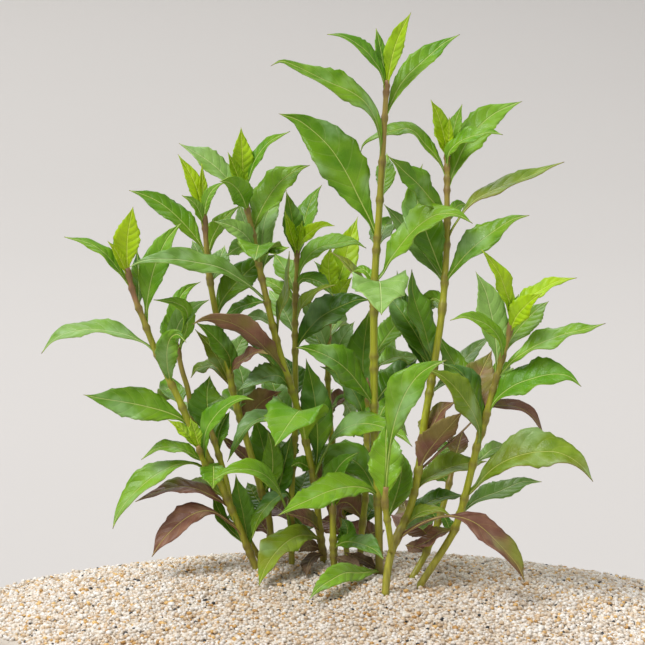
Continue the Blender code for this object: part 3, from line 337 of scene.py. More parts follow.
# Undersides are paler than the tops: partly their own paler colour, partly painted light shining through the
# thin blade.
UNDERSIDES_WITH_PAINTED_GLOW = {
    "green": ((0.18, 0.32, 0.03), (0.31, 0.46, 0.08), (0.54, 0.62, 0.18), (0.27, 0.37, 0.03), 0.5),
    "dark": ((0.11, 0.20, 0.02), (0.21, 0.31, 0.04), (0.40, 0.48, 0.11), (0.20, 0.19, 0.02), 0.5),
    "pale": ((0.27, 0.45, 0.09), (0.43, 0.62, 0.18), (0.60, 0.70, 0.26), (0.33, 0.51, 0.09), 0.5),
    "fresh": ((0.22, 0.42, 0.02), (0.36, 0.57, 0.05), (0.56, 0.70, 0.16), (0.34, 0.51, 0.02), 0.5),
    "young": ((0.31, 0.50, 0.006), (0.45, 0.66, 0.02), (0.62, 0.74, 0.11), (0.46, 0.61, 0.01), 0.5),
    "olive": ((0.22, 0.21, 0.03), (0.34, 0.33, 0.06), (0.48, 0.50, 0.13), (0.28, 0.19, 0.05), 0.5),
    "bronze": ((0.20, 0.080, 0.060), (0.33, 0.165, 0.110), (0.50, 0.42, 0.14), (0.25, 0.22, 0.04), 0.48),
    "dry": ((0.11, 0.070, 0.040), (0.21, 0.140, 0.085), (0.27, 0.20, 0.11), (0.14, 0.08, 0.03), 0.65),
}
# Tones whose tops carry painted sheen: pale patches in place of soft light reflected off the leaves.
PAINTED_SHEEN_TONES = ("green", "dark", "pale", "olive")
SHADED = ("dark", "bronze", "dry")
SHADED_FULLNESS = 1.22
FULLNESS = 1.05
# The pale colour of the painted sheen.
PAINTED_SHEEN = (0.38, 0.58, 0.34)
RUST = (0.22, 0.09, 0.01)
SCAR = (0.17, 0.10, 0.04)


def blade_material(name, sheen_share, deep, light, rib, patch, roughness):
    """Leaf skin: mottled green with patches of painted pale sheen, a thin pale midrib, arching side veins
    with a quilted ground between, and a rusty tip."""
    material, shader, node, link, mix = new_material(name, roughness)
    shader.inputs["Specular IOR Level"].default_value = 0.30

    def number(operation, *values):
        return node("Math", dict(enumerate(values)), operation=operation).outputs["Value"]

    def step(value, low, high):
        limits = {"Value": value, "From Min": low, "From Max": high}
        return node("MapRange", limits, interpolation_type="SMOOTHSTEP").outputs["Result"]

    parts = node("SeparateXYZ", {"Vector": node("TexCoord").outputs["UV"]})
    along = parts.outputs["X"]
    across = number("MULTIPLY", number("ABSOLUTE", number("SUBTRACT", parts.outputs["Y"], 0.5)), 2.0)
    reach = node("Attribute", attribute_name="reach").outputs["Fac"]
    mood = node("Attribute", attribute_name="mood").outputs["Fac"]
    place = node("TexCoord").outputs["Object"]
    mottle = node("TexNoise", {"Vector": place, "Scale": 110.0, "Detail": 5.0}).outputs["Fac"]
    skin = mix(step(number("MULTIPLY_ADD", mood, 0.35, mottle), 0.40, 0.90), deep, light)
    areas = node("TexNoise", {"Vector": place, "Scale": 38.0, "Detail": 2.0}).outputs["Fac"]
    skin = mix(number("MULTIPLY", step(areas, 0.48, 0.66), 0.75), skin, patch)
    lean = number("MULTIPLY", number("POWER", across, 1.4), 0.14)
    run = number("MULTIPLY", number("SUBTRACT", along, lean), 9.0)
    ridge = number("ABSOLUTE", number("SUBTRACT", number("FRACT", run), 0.5))
    vein = step(ridge, 0.42, 0.5)
    skin = mix(number("MULTIPLY", vein, 0.13), skin, rib)
    midrib = step(reach, 0.50, 0.22)
    skin = mix(number("MULTIPLY", midrib, 0.80), skin, rib)
    # Painted sheen: pale patches over the top, standing in for soft light reflected off it.
    sheen_patches = node("TexNoise", {"Vector": place, "Scale": 55.0, "Detail": 3.0}).outputs["Fac"]
    skin = mix(number("MULTIPLY", step(sheen_patches, 0.50, 0.72), sheen_share), skin, PAINTED_SHEEN)
    tip = step(along, 0.972, 0.995)
    skin = mix(number("MULTIPLY", tip, 0.6), skin, RUST)
    link(skin, "Base Color")
    cells = node("TexVoronoi", {"Vector": place, "Scale": 700.0}, feature="DISTANCE_TO_EDGE")
    net = cells.outputs["Distance"]
    pillow = number("MULTIPLY", number("SUBTRACT", 0.5, ridge), 1.6)
    quilt = number("ADD", number("SQRT", pillow), number("MULTIPLY", number("SQRT", net), 0.22))
    relief = number("SUBTRACT", quilt, number("MULTIPLY", step(reach, 0.9, 0.1), 0.9))
    link(node("Bump", {"Height": relief, "Strength": 0.55, "Distance": 0.0008}).outputs["Normal"], "Normal")
    return material


def stalk_material():
    """Stem skin: olive below, brown-purple towards the tip, with faint streaks and a scar at each joint."""
    material, shader, node, link, mix = new_material("stem skin", 0.42)
    place = node("TexCoord").outputs["Object"]
    stretched = node("Mapping", {"Vector": place, "Scale": (1.0, 1.0, 0.08)}).outputs["Vector"]
    streaks = node("TexNoise", {"Vector": stretched, "Scale": 700.0, "Detail": 2.0}).outputs["Fac"]
    clouds = node("TexNoise", {"Vector": place, "Scale": 60.0, "Detail": 3.0}).outputs["Fac"]
    age = node("Attribute", attribute_name="age").outputs["Fac"]
    aged = node("Math", {0: age, 1: 0.62}, operation="MULTIPLY").outputs["Value"]
    mood = node("Math", {0: clouds, 1: 0.38, 2: aged}, operation="MULTIPLY_ADD").outputs["Value"]
    base = ramp(
        node("ValToRGB", {"Fac": mood}),
        (
            (0.16, (0.33, 0.17, 0.08)),
            (0.32, (0.36, 0.33, 0.03)),
            (0.55, (0.42, 0.45, 0.02)),
            (0.72, (0.38, 0.37, 0.03)),
            (0.90, (0.29, 0.24, 0.05)),
        ),
    )
    shade = ramp(node("ValToRGB", {"Fac": streaks}), ((0.3, (0.72, 0.72, 0.72)), (0.7, (1.15, 1.15, 1.15))))
    knots = node("Attribute", attribute_name="scar").outputs["Fac"]
    half = node("Math", {0: knots, 1: 0.55}, operation="MULTIPLY").outputs["Value"]
    link(mix(half, mix(1.0, base, shade, "MULTIPLY"), SCAR), "Base Color")
    link(node("Bump", {"Height": streaks, "Strength": 0.35, "Distance": 0.0003}).outputs["Normal"], "Normal")
    return material


BLADE_MATERIALS = []
for tone in TONES:
    BLADE_MATERIALS.append(blade_material(tone + " leaf", 0.4 if tone in PAINTED_SHEEN_TONES else 0.1, *TONES[tone]))
    BLADE_MATERIALS.append(blade_material(tone + " leaf underside", 0.0, *UNDERSIDES_WITH_PAINTED_GLOW[tone]))
STALK_MATERIAL = stalk_material()


def sight_point(px, py, depth):
    """The place, in millimetres, that shows at a pixel of the front view and lies this deep."""
    rise = (SHEET_MIDDLE - py) / PIXELS_PER_METRE_AHEAD
    fall = math.sin(LOOK_DOWN)
    level = math.cos(LOOK_DOWN)
    height = (rise * EYE_DISTANCE + depth * (rise * level - fall)) / (level + rise * fall)
    ahead = EYE_DISTANCE + depth * level - height * fall
    return Vector((AIM_X + (px - SHEET_MIDDLE) * ahead / PIXELS_PER_METRE_AHEAD, depth, AIM_Z + height))


def smooth_run(points):
    """A fine smooth curve through points, with the length run at each of its points."""
    ends = [2 * points[0] - points[1], *points, 2 * points[-1] - points[-2]]
    fine = []
    for a, b, c, d in zip(ends, ends[1:], ends[2:], ends[3:]):
        for part in range(CURVE_PARTS):
            t = part / CURVE_PARTS
            curve = (2 * a - 5 * b + 4 * c - d) * t**2 + (3 * b - a - 3 * c + d) * t**3
            fine.append(0.5 * (2 * b + (c - a) * t + curve))
    fine.append(points[-1])
    lengths = [0.0]
    for a, b in zip(fine, fine[1:]):
        lengths.append(lengths[-1] + (b - a).length)
    return fine, lengths


def at_share(run, share):
    """The point at a share of a curve's length."""
    fine, lengths = run
    want = min(max(share, 0.0), 1.0) * lengths[-1]
    i = next((k for k in range(1, len(fine)) if lengths[k] >= want), len(fine) - 1)
    part = (want - lengths[i - 1]) / max(lengths[i] - lengths[i - 1], 1e-9)
    return fine[i - 1].lerp(fine[i], min(max(part, 0.0), 1.0))


def stem_depth(stem, py):
    """How deep a stem lies at a height of the front view."""
    top, foot = stem.route[0][1], stem.route[-1][1]
    share = min(max((py - top) / (foot - top), 0.0), 1.0)
    return stem.top_depth + (stem.foot_depth - stem.top_depth) * share


def leaf_run(leaf, stem, axis):
    """A leaf's midrib, which starts inside its stem and comes forward evenly along its length."""
    lengths = [0.0]
    for a, b in zip(leaf.path, leaf.path[1:]):
        lengths.append(lengths[-1] + math.dist(a, b))
    start = stem_depth(stem, leaf.path[0][1])
    line = [
        sight_point(px, py, start - leaf.out * length / lengths[-1])
        for (px, py), length in zip(leaf.path, lengths)
    ]
    base = line[0]
    line[0] = base.lerp(min(axis, key=lambda point: (point - base).length), 0.8)
    return smooth_run(line)


def leaf_frame(run, share, face):
    """The place, the side direction and the top's direction of a leaf at a share of its length."""
    here = at_share(run, share)
    along = (at_share(run, share + 0.04) - at_share(run, share - 0.04)).normalized()
    if face is LEVEL:
        side = along.cross(Vector((0.0, 0.0, 1.0))).normalized()
        return here, side, side.cross(along)
    face = math.radians(face)
    eye = (EYE - here).normalized()
    front = (eye - eye.dot(along) * along).normalized()
    upper = along.cross(front)
    if (run[0][-1] - run[0][0]).cross(eye).z < 0:
        upper = -upper
    top = front * math.cos(face) + upper * math.sin(face)
    return here, along.cross(top).normalized(), top


def blade_width(share, stalk):
    """How much of its full width a blade has at a share of its length, after its stalk."""
    blade = min(max((share - stalk) / (1 - stalk), 0.0), 1.0)
    return blade**1.6 * (1 - blade) ** 1.7 / 0.1017 + 0.1 * (1 - blade) ** 4


def add_blade(bm, leaf, run):
    """Bends a grid into one leaf blade, folded along the midrib, with a waving, toothed margin."""
    skin = bm.loops.layers.uv.verify()
    reach = bm.verts.layers.float.get("reach") or bm.verts.layers.float.new("reach")
    mood = bm.verts.layers.float.get("mood") or bm.verts.layers.float.new("mood")
    grid = bmesh.ops.create_grid(bm, x_segments=BLADE_ALONG, y_segments=BLADE_ACROSS, size=1.0)["verts"]
    faces = {face for vert in grid for face in vert.link_faces}
    for face in faces:
        face.material_index = 2 * list(TONES).index(leaf.tone)
        for corner in face.loops:
            corner[skin].uv = (corner.vert.co.x / 2 + 0.5, corner.vert.co.y / 2 + 0.5)
    waves = chance.uniform(1.6, 3.2)
    phase = chance.uniform(0.0, 6.28)
    ripple = chance.uniform(0.9, 1.9)
    sway = chance.uniform(-0.5, 0.5)
    fold = math.radians(chance.uniform(8.0, 18.0))
    shade = chance.random()
    teeth = [[chance.choice(TOOTH_SIZES) for _ in range(2)] for _ in range(BLADE_ALONG + 1)]
    fullness = SHADED_FULLNESS if leaf.tone in SHADED and not leaf.own else FULLNESS
    frames = {}
    for vert in grid:
        share = (vert.co.x + 1) / 2
        across = -vert.co.y
        key = round(share * BLADE_ALONG)
        if key not in frames:
            frames[key] = leaf_frame(run, min(share, 0.999), leaf.face)
        here, side, top = frames[key]
        half = fullness * leaf.width * blade_width(share, leaf.stalk) / 2
        wide = max(half, PETIOLE_WIDTH / 2 * (1 - share) ** 0.5)
        if abs(across) > 0.9:
            across *= teeth[key][across > 0]
        lift = wide * math.tan(fold + 0.5 * (1 - share) ** 5) * abs(across) ** 1.2
        flutter = math.sin(share * waves * 6.28 + phase + (1.4 if across > 0 else 0.0)) * across**2
        lift += (ripple * flutter + sway * math.sin(share * 9 + phase) * (1 - across**2)) * half / 7
        vert.co = (here + side * wide * across + top * lift) * MM
        vert[reach] = wide * abs(across) * (1.0 + share)
        vert[mood] = shade
    bmesh.ops.remove_doubles(bm, verts=grid, dist=0.00002)


def add_stalk(bm, stem, run, joints, foot):
    """Draws a ring along a stem's middle line, swelling it at each joint."""
    age = bm.verts.layers.float.get("age") or bm.verts.layers.float.new("age")
    scar = bm.verts.layers.float.get("scar") or bm.verts.layers.float.new("scar")
    length = run[1][-1]
    count = max(24, round(length / STATION_LENGTH))
    loop = bmesh.ops.create_circle(bm, cap_ends=True, segments=STALK_SIDES, radius=1.0)["verts"]
    turns = [math.atan2(vert.co.y, vert.co.x) for vert in loop]
    places = []
    for station in range(count + 1):
        share = station / count
        plain = (stem.foot_width - (stem.foot_width - stem.top_width) * (1 - share) ** 3) / 2
        away = min((abs(share - joint) for joint in joints), default=1.0) * length / KNOT_LENGTH
        knot = math.exp(-(away**2))
        places.append((at_share(run, share), plain + KNOT_SWELLING * knot, share, knot))
    if foot:
        places.append((places[-1][0] - Vector((0.0, 0.0, BURIED)), places[-1][1], 1.0, 0.0))
    for number, (here, radius, share, knot) in enumerate(places):
        if number:
            loop = next_ring(bm, loop)
        along = (at_share(run, share + 0.02) - at_share(run, share - 0.02)).normalized()
        side = along.cross((EYE - here).normalized()).normalized()
        front = side.cross(along)
        for vert, turn in zip(loop, turns):
            vert.co = (here + (side * math.cos(turn) + front * math.sin(turn)) * radius) * MM
            vert[age] = share
            vert[scar] = knot
    bmesh.ops.contextual_create(bm, geom=loop)


def thicken(piece):
    """Gives blades their thickness, with another skin on the underside and the edge."""
    solid = piece.modifiers.new("Thickness", "SOLIDIFY")
    solid.thickness = BLADE_THICKNESS * MM
    solid.offset = -1.0
    solid.material_offset = 1
    solid.material_offset_rim = 1


def grow(name, *shoots):
    """Makes a stem and its side shoots as one piece, its small leaves as one, and each own leaf as one."""
    stalks = bmesh.new()
    small = bmesh.new()
    for title, stem, leaves in shoots:
        run = smooth_run([sight_point(px, py, stem_depth(stem, py)) for px, py in stem.route])
        axis = [at_share(run, k / AXIS_STEPS) for k in range(AXIS_STEPS + 1)]
        joints = []
        for number, leaf in enumerate(leaves, 1):
            midrib = leaf_run(leaf, stem, axis)
            near = min(range(AXIS_STEPS + 1), key=lambda k: (axis[k] - midrib[0][0]).length)
            joints.append(near / AXIS_STEPS)
            if not leaf.own:
                add_blade(small, leaf, midrib)
                continue
            blade = bmesh.new()
            add_blade(blade, leaf, midrib)
            solid = f"{title}_leaf_{number}"
            thicken(finish_piece(blade, solid + "_blade", BLADE_MATERIALS, [solid]))
        add_stalk(stalks, stem, run, joints, title == name)
    bmesh.ops.recalc_face_normals(stalks, faces=stalks.faces)
    finish_piece(stalks, name + "_stalk", [STALK_MATERIAL], [name])
    if len(small.verts):
        thicken(finish_piece(small, name + "_small_leaves", BLADE_MATERIALS, [name]))


TALL_STEM = Stem(
    ((387, 80), (385.5, 103), (384, 130), (381, 180), (378.5, 222), (375.5, 265), (374, 310), (374, 380),
     (374.5, 430), (378, 500), (379.5, 577)), 0, -2, 2.4, 4.0
)
TALL_STEM_LEAVES = (
    Leaf(((386, 88), (384, 70), (381.5, 55), (379, 42), (376.3, 28)), 8, -6, 36, "fresh"),
    Leaf(((387.5, 86), (389, 74), (392, 59), (396, 44), (402, 29), (411, 12)), 9, 6, 20, "young"),
    Leaf(((386, 92), (381, 72), (375, 62), (368, 53), (360, 46.5), (350, 39.5), (340, 35), (327, 34)), 9, 8,
         56, "fresh"),
    Leaf(((386, 119), (391, 104), (398, 89), (407, 76.5), (419, 65), (431, 54), (444, 43), (460, 34)), 12,
         -14, 36, "fresh", True, 0.08),
    Leaf(((381.5, 161), (380.5, 141), (377, 124), (370.5, 110), (361, 99), (347, 90), (330, 82.5),
          (311, 73), (295, 65.5), (281, 61), (270.5, 66)), 14, 14, 48, "green", True, 0.12),
    Leaf(((383, 199), (385, 178), (387, 152)), 9, -34, 0, "fresh"),
    Leaf(((375, 237), (370, 220), (363, 206), (356, 192), (349, 178), (341, 164), (331, 149), (320, 137),
          (309, 127.5), (297, 119.5), (278, 113.5)), 22, -12, 8, "green", True, 0.08),
    Leaf(((377.5, 284), (383, 273), (390, 260), (400, 246), (411, 233), (423, 222.5), (436, 215),
          (450, 213.5), (462, 216.5), (473, 223.5)), 17, 16, 48, "green", True, 0.1),
    Leaf(((375, 306), (376.5, 297), (377.5, 288), (378.5, 281.5), (380, 283), (381, 297), (381.5, 315)), 26,
         46, LEVEL, "pale", True),
    Leaf(((374, 406), (367.5, 396), (360, 385), (352, 375), (342, 366), (330, 358), (317, 351.5),
          (305, 348), (295, 347.5)), 17, 22, 38, "green", True),
    Leaf(((375, 357), (383, 342), (392, 329), (402, 316), (411, 303)), 12, -26, 20, "fresh"),
    Leaf(((374, 367), (388, 360), (402, 357), (420, 357)), 13, -24, 52, "green"),
    Leaf(((374, 406), (383, 392), (394, 380), (406, 367), (419, 356)), 14, -26, 30, "dark"),
    Leaf(((375, 312), (361, 284), (348, 265), (330.5, 251)), 10, -16, 66, "olive"),
    Leaf(((375, 290), (370, 276), (362, 269), (352, 272)), 6, -10, 40, "fresh"),
    Leaf(((379, 500), (373.5, 492.5), (365, 488), (353, 486.5), (339, 488.5), (325, 493), (309, 500),
          (293, 507), (277.5, 515.5)), 17, 34, 40, "green", True),
    Leaf(((379, 505), (372, 485), (362, 468), (350, 459), (337, 461), (328, 471), (321, 487)), 16, -30, 20,
         "dark", True),
    Leaf(((379.5, 568), (370, 572), (358, 573), (345, 573), (331, 580), (319, 588), (309, 599)), 11, 64, 28,
         "green"),
    Leaf(((377, 250), (383, 232), (387, 224), (389, 234)), 13, -52, 35, "green"),
    Leaf(((374, 430), (382, 412), (386, 406), (389, 416)), 14, -46, 35, "green"),
    Leaf(((379, 573), (368, 563), (356, 557), (345, 552)), 6, -6, 40, "dry"),
)
grow("tall_stem", ("tall_stem", TALL_STEM, TALL_STEM_LEAVES))

# The right stem
# A long cutting that leans right from its foot and stands straight above. A side shoot grew near its foot,
# and both grew as one.
RIGHT_STEM = Stem(
    ((447, 152), (447, 200), (447, 238), (444.5, 285), (441, 320), (436.5, 350), (430, 390), (424.5, 422),
     (420, 460), (414.5, 490), (408, 514), (394, 545), (388, 568), (385.5, 591)), 8, -40, 2.4, 3.8
)
RIGHT_STEM_LEAVES = (
    Leaf(((446.5, 157), (445, 142), (442, 128), (437.5, 114), (431, 99.5)), 9, 6, 30, "young"),
    Leaf(((446, 158), (441, 140), (435, 116)), 7, -8, 40, "young"),
    Leaf(((448, 155), (449, 136), (449, 117)), 5, 6, 30, "young"),
    Leaf(((447.5, 158), (450, 145), (453.5, 131), (457, 118), (462, 104)), 8, -6, 30, "fresh"),
    Leaf(((447, 168), (449, 153), (457, 143.5), (467, 138), (479, 134.5), (491, 132), (503, 134.5)), 10, 16,
         52, "fresh"),
    Leaf(((447.5, 191), (451, 178), (456.5, 164), (463, 149.5), (471, 136.5), (481, 124.5), (493, 114.5),
          (507, 107), (522.5, 101)), 16, -20, 26, "fresh", True, 0.08),
    Leaf(((446, 181), (441.5, 166), (434, 154), (424, 143), (415.5, 132), (406, 128), (394, 130.5),
          (382, 134), (370, 139), (363, 145), (360, 153)), 10, -16, 56, "green"),
    Leaf(((447, 218), (440, 209), (430, 198), (419, 186), (408, 175), (398, 165), (388, 155.5)), 14, 26, 38,
         "green", True),
    Leaf(((444.5, 280), (439, 266), (433, 250), (427, 235), (421, 218), (417, 200), (417.5, 180),
          (423, 163.5)), 18, -12, 15, "green", True),
    Leaf(((446.5, 244), (451, 232), (458, 220), (467, 208), (479, 198), (492, 191.5), (506, 184.5),
          (520, 179.5), (534, 173.5), (548, 167.5), (564.5, 161.5)), 13, -12, 62, "olive", True, 0.18),
    Leaf(((444, 286), (450, 275), (458.5, 263.5), (468, 252.5), (479, 242), (491, 233), (503, 225),
          (515, 218.5), (529.5, 215)), 15, 10, 42, "green", True),
    Leaf(((447, 224), (455, 208.5), (461, 204.5), (468, 205)), 7, -16, 30, "fresh"),
    Leaf(((442.5, 305), (437, 299), (431, 299.5), (430, 311)), 9, -22, 30, "green"),
    Leaf(((435, 369), (430, 350), (424, 330), (418, 311), (413, 291), (412, 269)), 16, -14, 46, "dark",
         True),
    Leaf(((434, 373), (420, 342), (406, 319), (393, 301), (382, 288)), 15, -22, 26, "dark", True),
    Leaf(((433, 382), (419, 350), (408, 320), (400, 294), (397, 270)), 10, -34, 20, "dark"),
    Leaf(((430, 394), (450, 377), (466, 358), (480, 344), (493, 335)), 10, -62, 32, "pale"),
    Leaf(((417, 472), (425.5, 455), (437.5, 439), (449, 426), (463, 411)), 14, 10, 138, "bronze"),
    Leaf(((422, 448), (431, 428), (441, 411), (456, 401)), 12, -8, 50, "bronze"),
    Leaf(((414.5, 492), (424, 481), (434, 475), (446, 469), (460, 464.5), (474, 462.5), (487, 461)), 16,
         -22, 48, "olive", True),
    Leaf(((408, 520.5), (416, 511), (426, 504), (437, 499), (450, 496), (465, 495)), 10, -20, 52, "dark"),
    Leaf(((403, 530), (409.5, 521), (419.5, 513), (429.5, 510), (441, 511), (452, 516)), 8, 2, 52, "olive"),
    Leaf(((402, 533), (412, 525), (424, 520.5), (438, 517.5)), 9, -14, 40, "pale"),
    Leaf(((398.5, 543), (412, 529), (428, 520.5), (445, 516), (461, 517.5), (475, 523), (488, 533),
          (500, 545), (511, 557), (519, 568), (525, 582)), 15, 18, 42, "bronze", True, 0.38),
    Leaf(((419, 474), (430, 461.5), (440, 451.5), (451, 442), (461, 432.5), (470, 423.5), (479, 413),
          (489, 406.5), (503, 405.5), (516, 406), (528, 412), (537, 422), (544, 434)), 11, -32, 62,
         "bronze", True, 0.5),
    Leaf(((444, 284), (430, 262), (415, 242), (400, 222), (384, 204)), 12, -26, 22, "pale"),
    Leaf(((442, 312), (436, 303), (431, 297), (425, 296)), 9, -40, 40, "fresh"),
    Leaf(((402, 535), (406, 515), (403, 498)), 12, -46, 15, "bronze"),
)
RIGHT_BRANCH = Stem(((386, 487), (385, 505), (389, 530), (392, 552)), -48, -38, 2.6, 3.0)
RIGHT_BRANCH_LEAVES = (
    Leaf(((386, 500), (387, 472), (390, 445), (394.5, 422), (400.5, 404), (408.5, 388.5), (419, 375),
          (432, 366), (447, 359.5)), 17, 22, 30, "green", True, 0.36),
    Leaf(((385, 505), (385, 482), (386, 458), (386, 437), (388, 420)), 16, -14, 5, "green"),
    Leaf(((387, 520), (398, 490), (402, 465), (398, 448)), 12, -20, 20, "dark"),
)
grow(
    "right_stem",
    ("right_stem", RIGHT_STEM, RIGHT_STEM_LEAVES),
    ("right_branch", RIGHT_BRANCH, RIGHT_BRANCH_LEAVES),
)

# The far right stem
# A shorter cutting that leans out to the right, pushed into the sand at a slant, with long spreading leaves
# and a bronze one low down.
FAR_RIGHT_STEM = Stem(
    ((511.5, 322), (508, 338), (503, 355), (497, 377), (491, 398), (484, 424), (477.5, 444), (472, 468),
     (464, 500), (456, 526), (446, 545), (420, 585)), -22, -28, 2.4, 3.6
)
FAR_RIGHT_STEM_LEAVES = (
    Leaf(((510.5, 332), (515.5, 318.5), (522, 309.5), (530, 301.5), (541.5, 293)), 11, 14, 30, "young"),
    Leaf(((511, 328), (520, 308), (530, 297), (541, 289.5), (552, 283.5), (563, 280), (577, 277.5)), 10,
         -12, 50, "young"),
    Leaf(((511.5, 326), (509.5, 303), (504.5, 288), (499.5, 274.5), (492, 262.5), (481.5, 249)), 9, 10, 34,
         "young"),
    Leaf(((511, 326), (513.5, 308), (518.5, 294)), 5, 4, 30, "fresh"),
    Leaf(((498, 377), (497, 358), (495.5, 340), (493, 322), (489.5, 306), (485, 290), (475.5, 271)), 14, -4,
         10, "pale", True, 0.15),
    Leaf(((503, 361), (501.5, 345), (496, 333), (487, 324.5), (476, 320), (463, 316.5), (450, 320)), 9, 28,
         50, "fresh"),
    Leaf(((504, 355), (510, 341), (518, 329), (528, 318.5), (538, 309), (549, 301)), 15, -32, 28, "green",
         True),
    Leaf(((498, 380), (505, 369.5), (513, 360.5), (524, 352.5), (537, 345), (551, 339), (567, 333.5),
          (586, 329), (605.5, 323)), 14, 10, 54, "green", True, 0.12),
    Leaf(((488, 414), (495, 401), (504, 392.5), (516, 384.5), (529, 379), (543, 375), (557, 374),
          (570, 377), (581.5, 386.5)), 18, 12, 42, "fresh", True, 0.1),
    Leaf(((467, 498), (476, 487), (487, 474), (499, 464.5), (512, 458), (526, 453.5), (541, 451.5),
          (556, 452), (570, 457.5), (583, 467.5), (593.5, 482)), 21, 16, 40, "olive", True, 0.12),
    Leaf(((463, 516), (467, 508), (475, 501), (486, 496), (498, 492), (510, 486.5), (524, 481.5),
          (542, 481.5)), 13, -30, 48, "pale", True),
    Leaf(((476, 464), (484, 456), (492, 449.5), (502, 446.5), (512, 446)), 8, -24, 36, "pale"),
    Leaf(((480, 449), (479.5, 433), (475, 417), (467, 403.5), (455, 387.5), (441.5, 375.5), (425.5, 368.5)),
         14, 26, 40, "olive", True, 0.12),
    Leaf(((483, 433), (480, 412), (474.5, 395), (467, 379), (456, 368.5), (441, 363)), 11, 2, 54, "dark"),
    Leaf(((487, 420), (479, 399), (478, 382), (484, 366), (492, 350)), 14, -26, 12, "bronze"),
    Leaf(((455, 530), (440, 533), (428, 541), (411, 548)), 8, 4, 50, "bronze"),
    Leaf(((482, 434), (474, 407), (464, 384), (454, 364), (445, 348), (437, 331)), 13, -30, 20, "green"),
    Leaf(((494, 392), (500, 376), (503, 371), (506, 381)), 12, -50, 35, "green"),
)
grow("far_right_stem", ("far_right_stem", FAR_RIGHT_STEM, FAR_RIGHT_STEM_LEAVES))

# The back right stem
# A short cutting behind the far right one. Its leaves are thin, and partly bronze from the light that its
# neighbours leave it.
BACK_RIGHT_STEM = Stem(
    ((455, 455), (452, 470), (447, 492), (438, 522), (426, 553), (412, 578)), 14, -8, 2.4, 3.2
)
BACK_RIGHT_STEM_LEAVES = (
    Leaf(((453, 466), (447, 450), (440, 440)), 10, -20, 20, "green"),
    Leaf(((455, 460), (459, 444), (463, 430)), 9, -12, 20, "bronze"),
    Leaf(((449, 483), (439, 474), (428, 468)), 10, -14, 30, "dark"),
    Leaf(((440, 514), (446, 520), (451, 533)), 5, 8, 30, "dark"),
    Leaf(((439, 522), (426, 506), (413, 500)), 12, -16, 20, "dark"),
    Leaf(((432, 540), (418, 526), (404, 522)), 12, -14, 20, "bronze"),
    Leaf(((427, 552), (416, 547), (405, 545)), 8, -10, 30, "bronze"),
)
grow("back_right_stem", ("back_right_stem", BACK_RIGHT_STEM, BACK_RIGHT_STEM_LEAVES))

# The centre stem
# A straight cutting behind the middle of the clump, with deep green leaves that grew at every joint down to
# the sand.
CENTRE_STEM = Stem(
    ((297, 249), (297, 272), (295.5, 299), (295, 336), (295.5, 387), (295, 430), (292, 480), (291, 530),
     (292, 566)), 44, 18, 2.4, 3.2
)
CENTRE_STEM_LEAVES = (
    Leaf(((297, 259), (294.5, 240), (292.5, 222), (290, 207), (286.3, 191)), 11, 4, 20, "dark", True),
    Leaf(((298, 261), (300, 243), (303, 227), (307, 211), (313, 197), (322, 184.5)), 13, -26, 34, "dark",
         True),
    Leaf(((297, 254), (292, 237), (285, 210.5)), 5.5, 18, 30, "young"),
    Leaf(((297, 252), (299.5, 237), (302, 221)), 6, 12, 30, "young"),
    Leaf(((297.5, 254), (302, 241), (309, 233.5), (317, 228), (325, 225), (334.5, 225.5)), 8, 24, 45,
         "young"),
    Leaf(((297, 283), (300.5, 270), (306, 260), (314, 251), (324, 245.5), (335, 244), (346, 242),
          (356, 242.5), (366.5, 248)), 14, 6, 54, "fresh", True, 0.1),
    Leaf(((296, 323), (301, 307), (308, 298), (316, 291.5), (326, 287), (336, 284.5)), 8, 18, 60, "olive"),
    Leaf(((296, 350), (301, 340), (309, 329), (319, 319), (331, 311), (344, 304.5), (358, 299.5),
          (371, 300)), 18, 2, 38, "dark", True, 0.08),
    Leaf(((296, 400), (292, 375), (284, 356)), 12, -22, 20, "dark"),
    Leaf(((296, 334), (288, 318), (279, 303), (268, 289)), 14, -36, 15, "pale"),
    Leaf(((296, 306), (290, 297), (280, 288.5), (269, 282), (257, 278.5)), 9, -20, 40, "green"),
    Leaf(((296, 295), (290, 278), (283, 266), (273, 252.5)), 12, -24, 20, "green"),
    Leaf(((296, 290), (302, 279), (312, 279), (322, 284), (334, 296)), 9, 10, 45, "green"),
    Leaf(((295, 420), (280, 400), (272, 380), (276, 362)), 14, -40, 20, "green"),
    Leaf(((291, 502), (286, 493.5), (276, 498), (266, 507), (258, 519), (251.5, 539)), 9, 30, 44, "dark"),
    Leaf(((291, 535), (287, 512), (279, 491), (268, 478), (255, 471), (241, 469), (227, 471.5),
          (213.5, 480)), 12, 56, 50, "fresh", False, 0.35),
    Leaf(((294, 440), (303, 424), (308, 418), (313, 424)), 13, -28, 35, "dark"),
    Leaf(((292, 466), (283, 450), (276, 440)), 13, -24, 15, "dark"),
    Leaf(((291, 503), (302, 486), (308, 470)), 13, -22, 15, "dark"),
    Leaf(((291, 522), (279, 508), (266, 504)), 12, -24, 20, "bronze"),
    Leaf(((291, 538), (303, 523), (314, 514)), 12, -22, 20, "dark"),
)
grow("centre_stem", ("centre_stem", CENTRE_STEM, CENTRE_STEM_LEAVES))

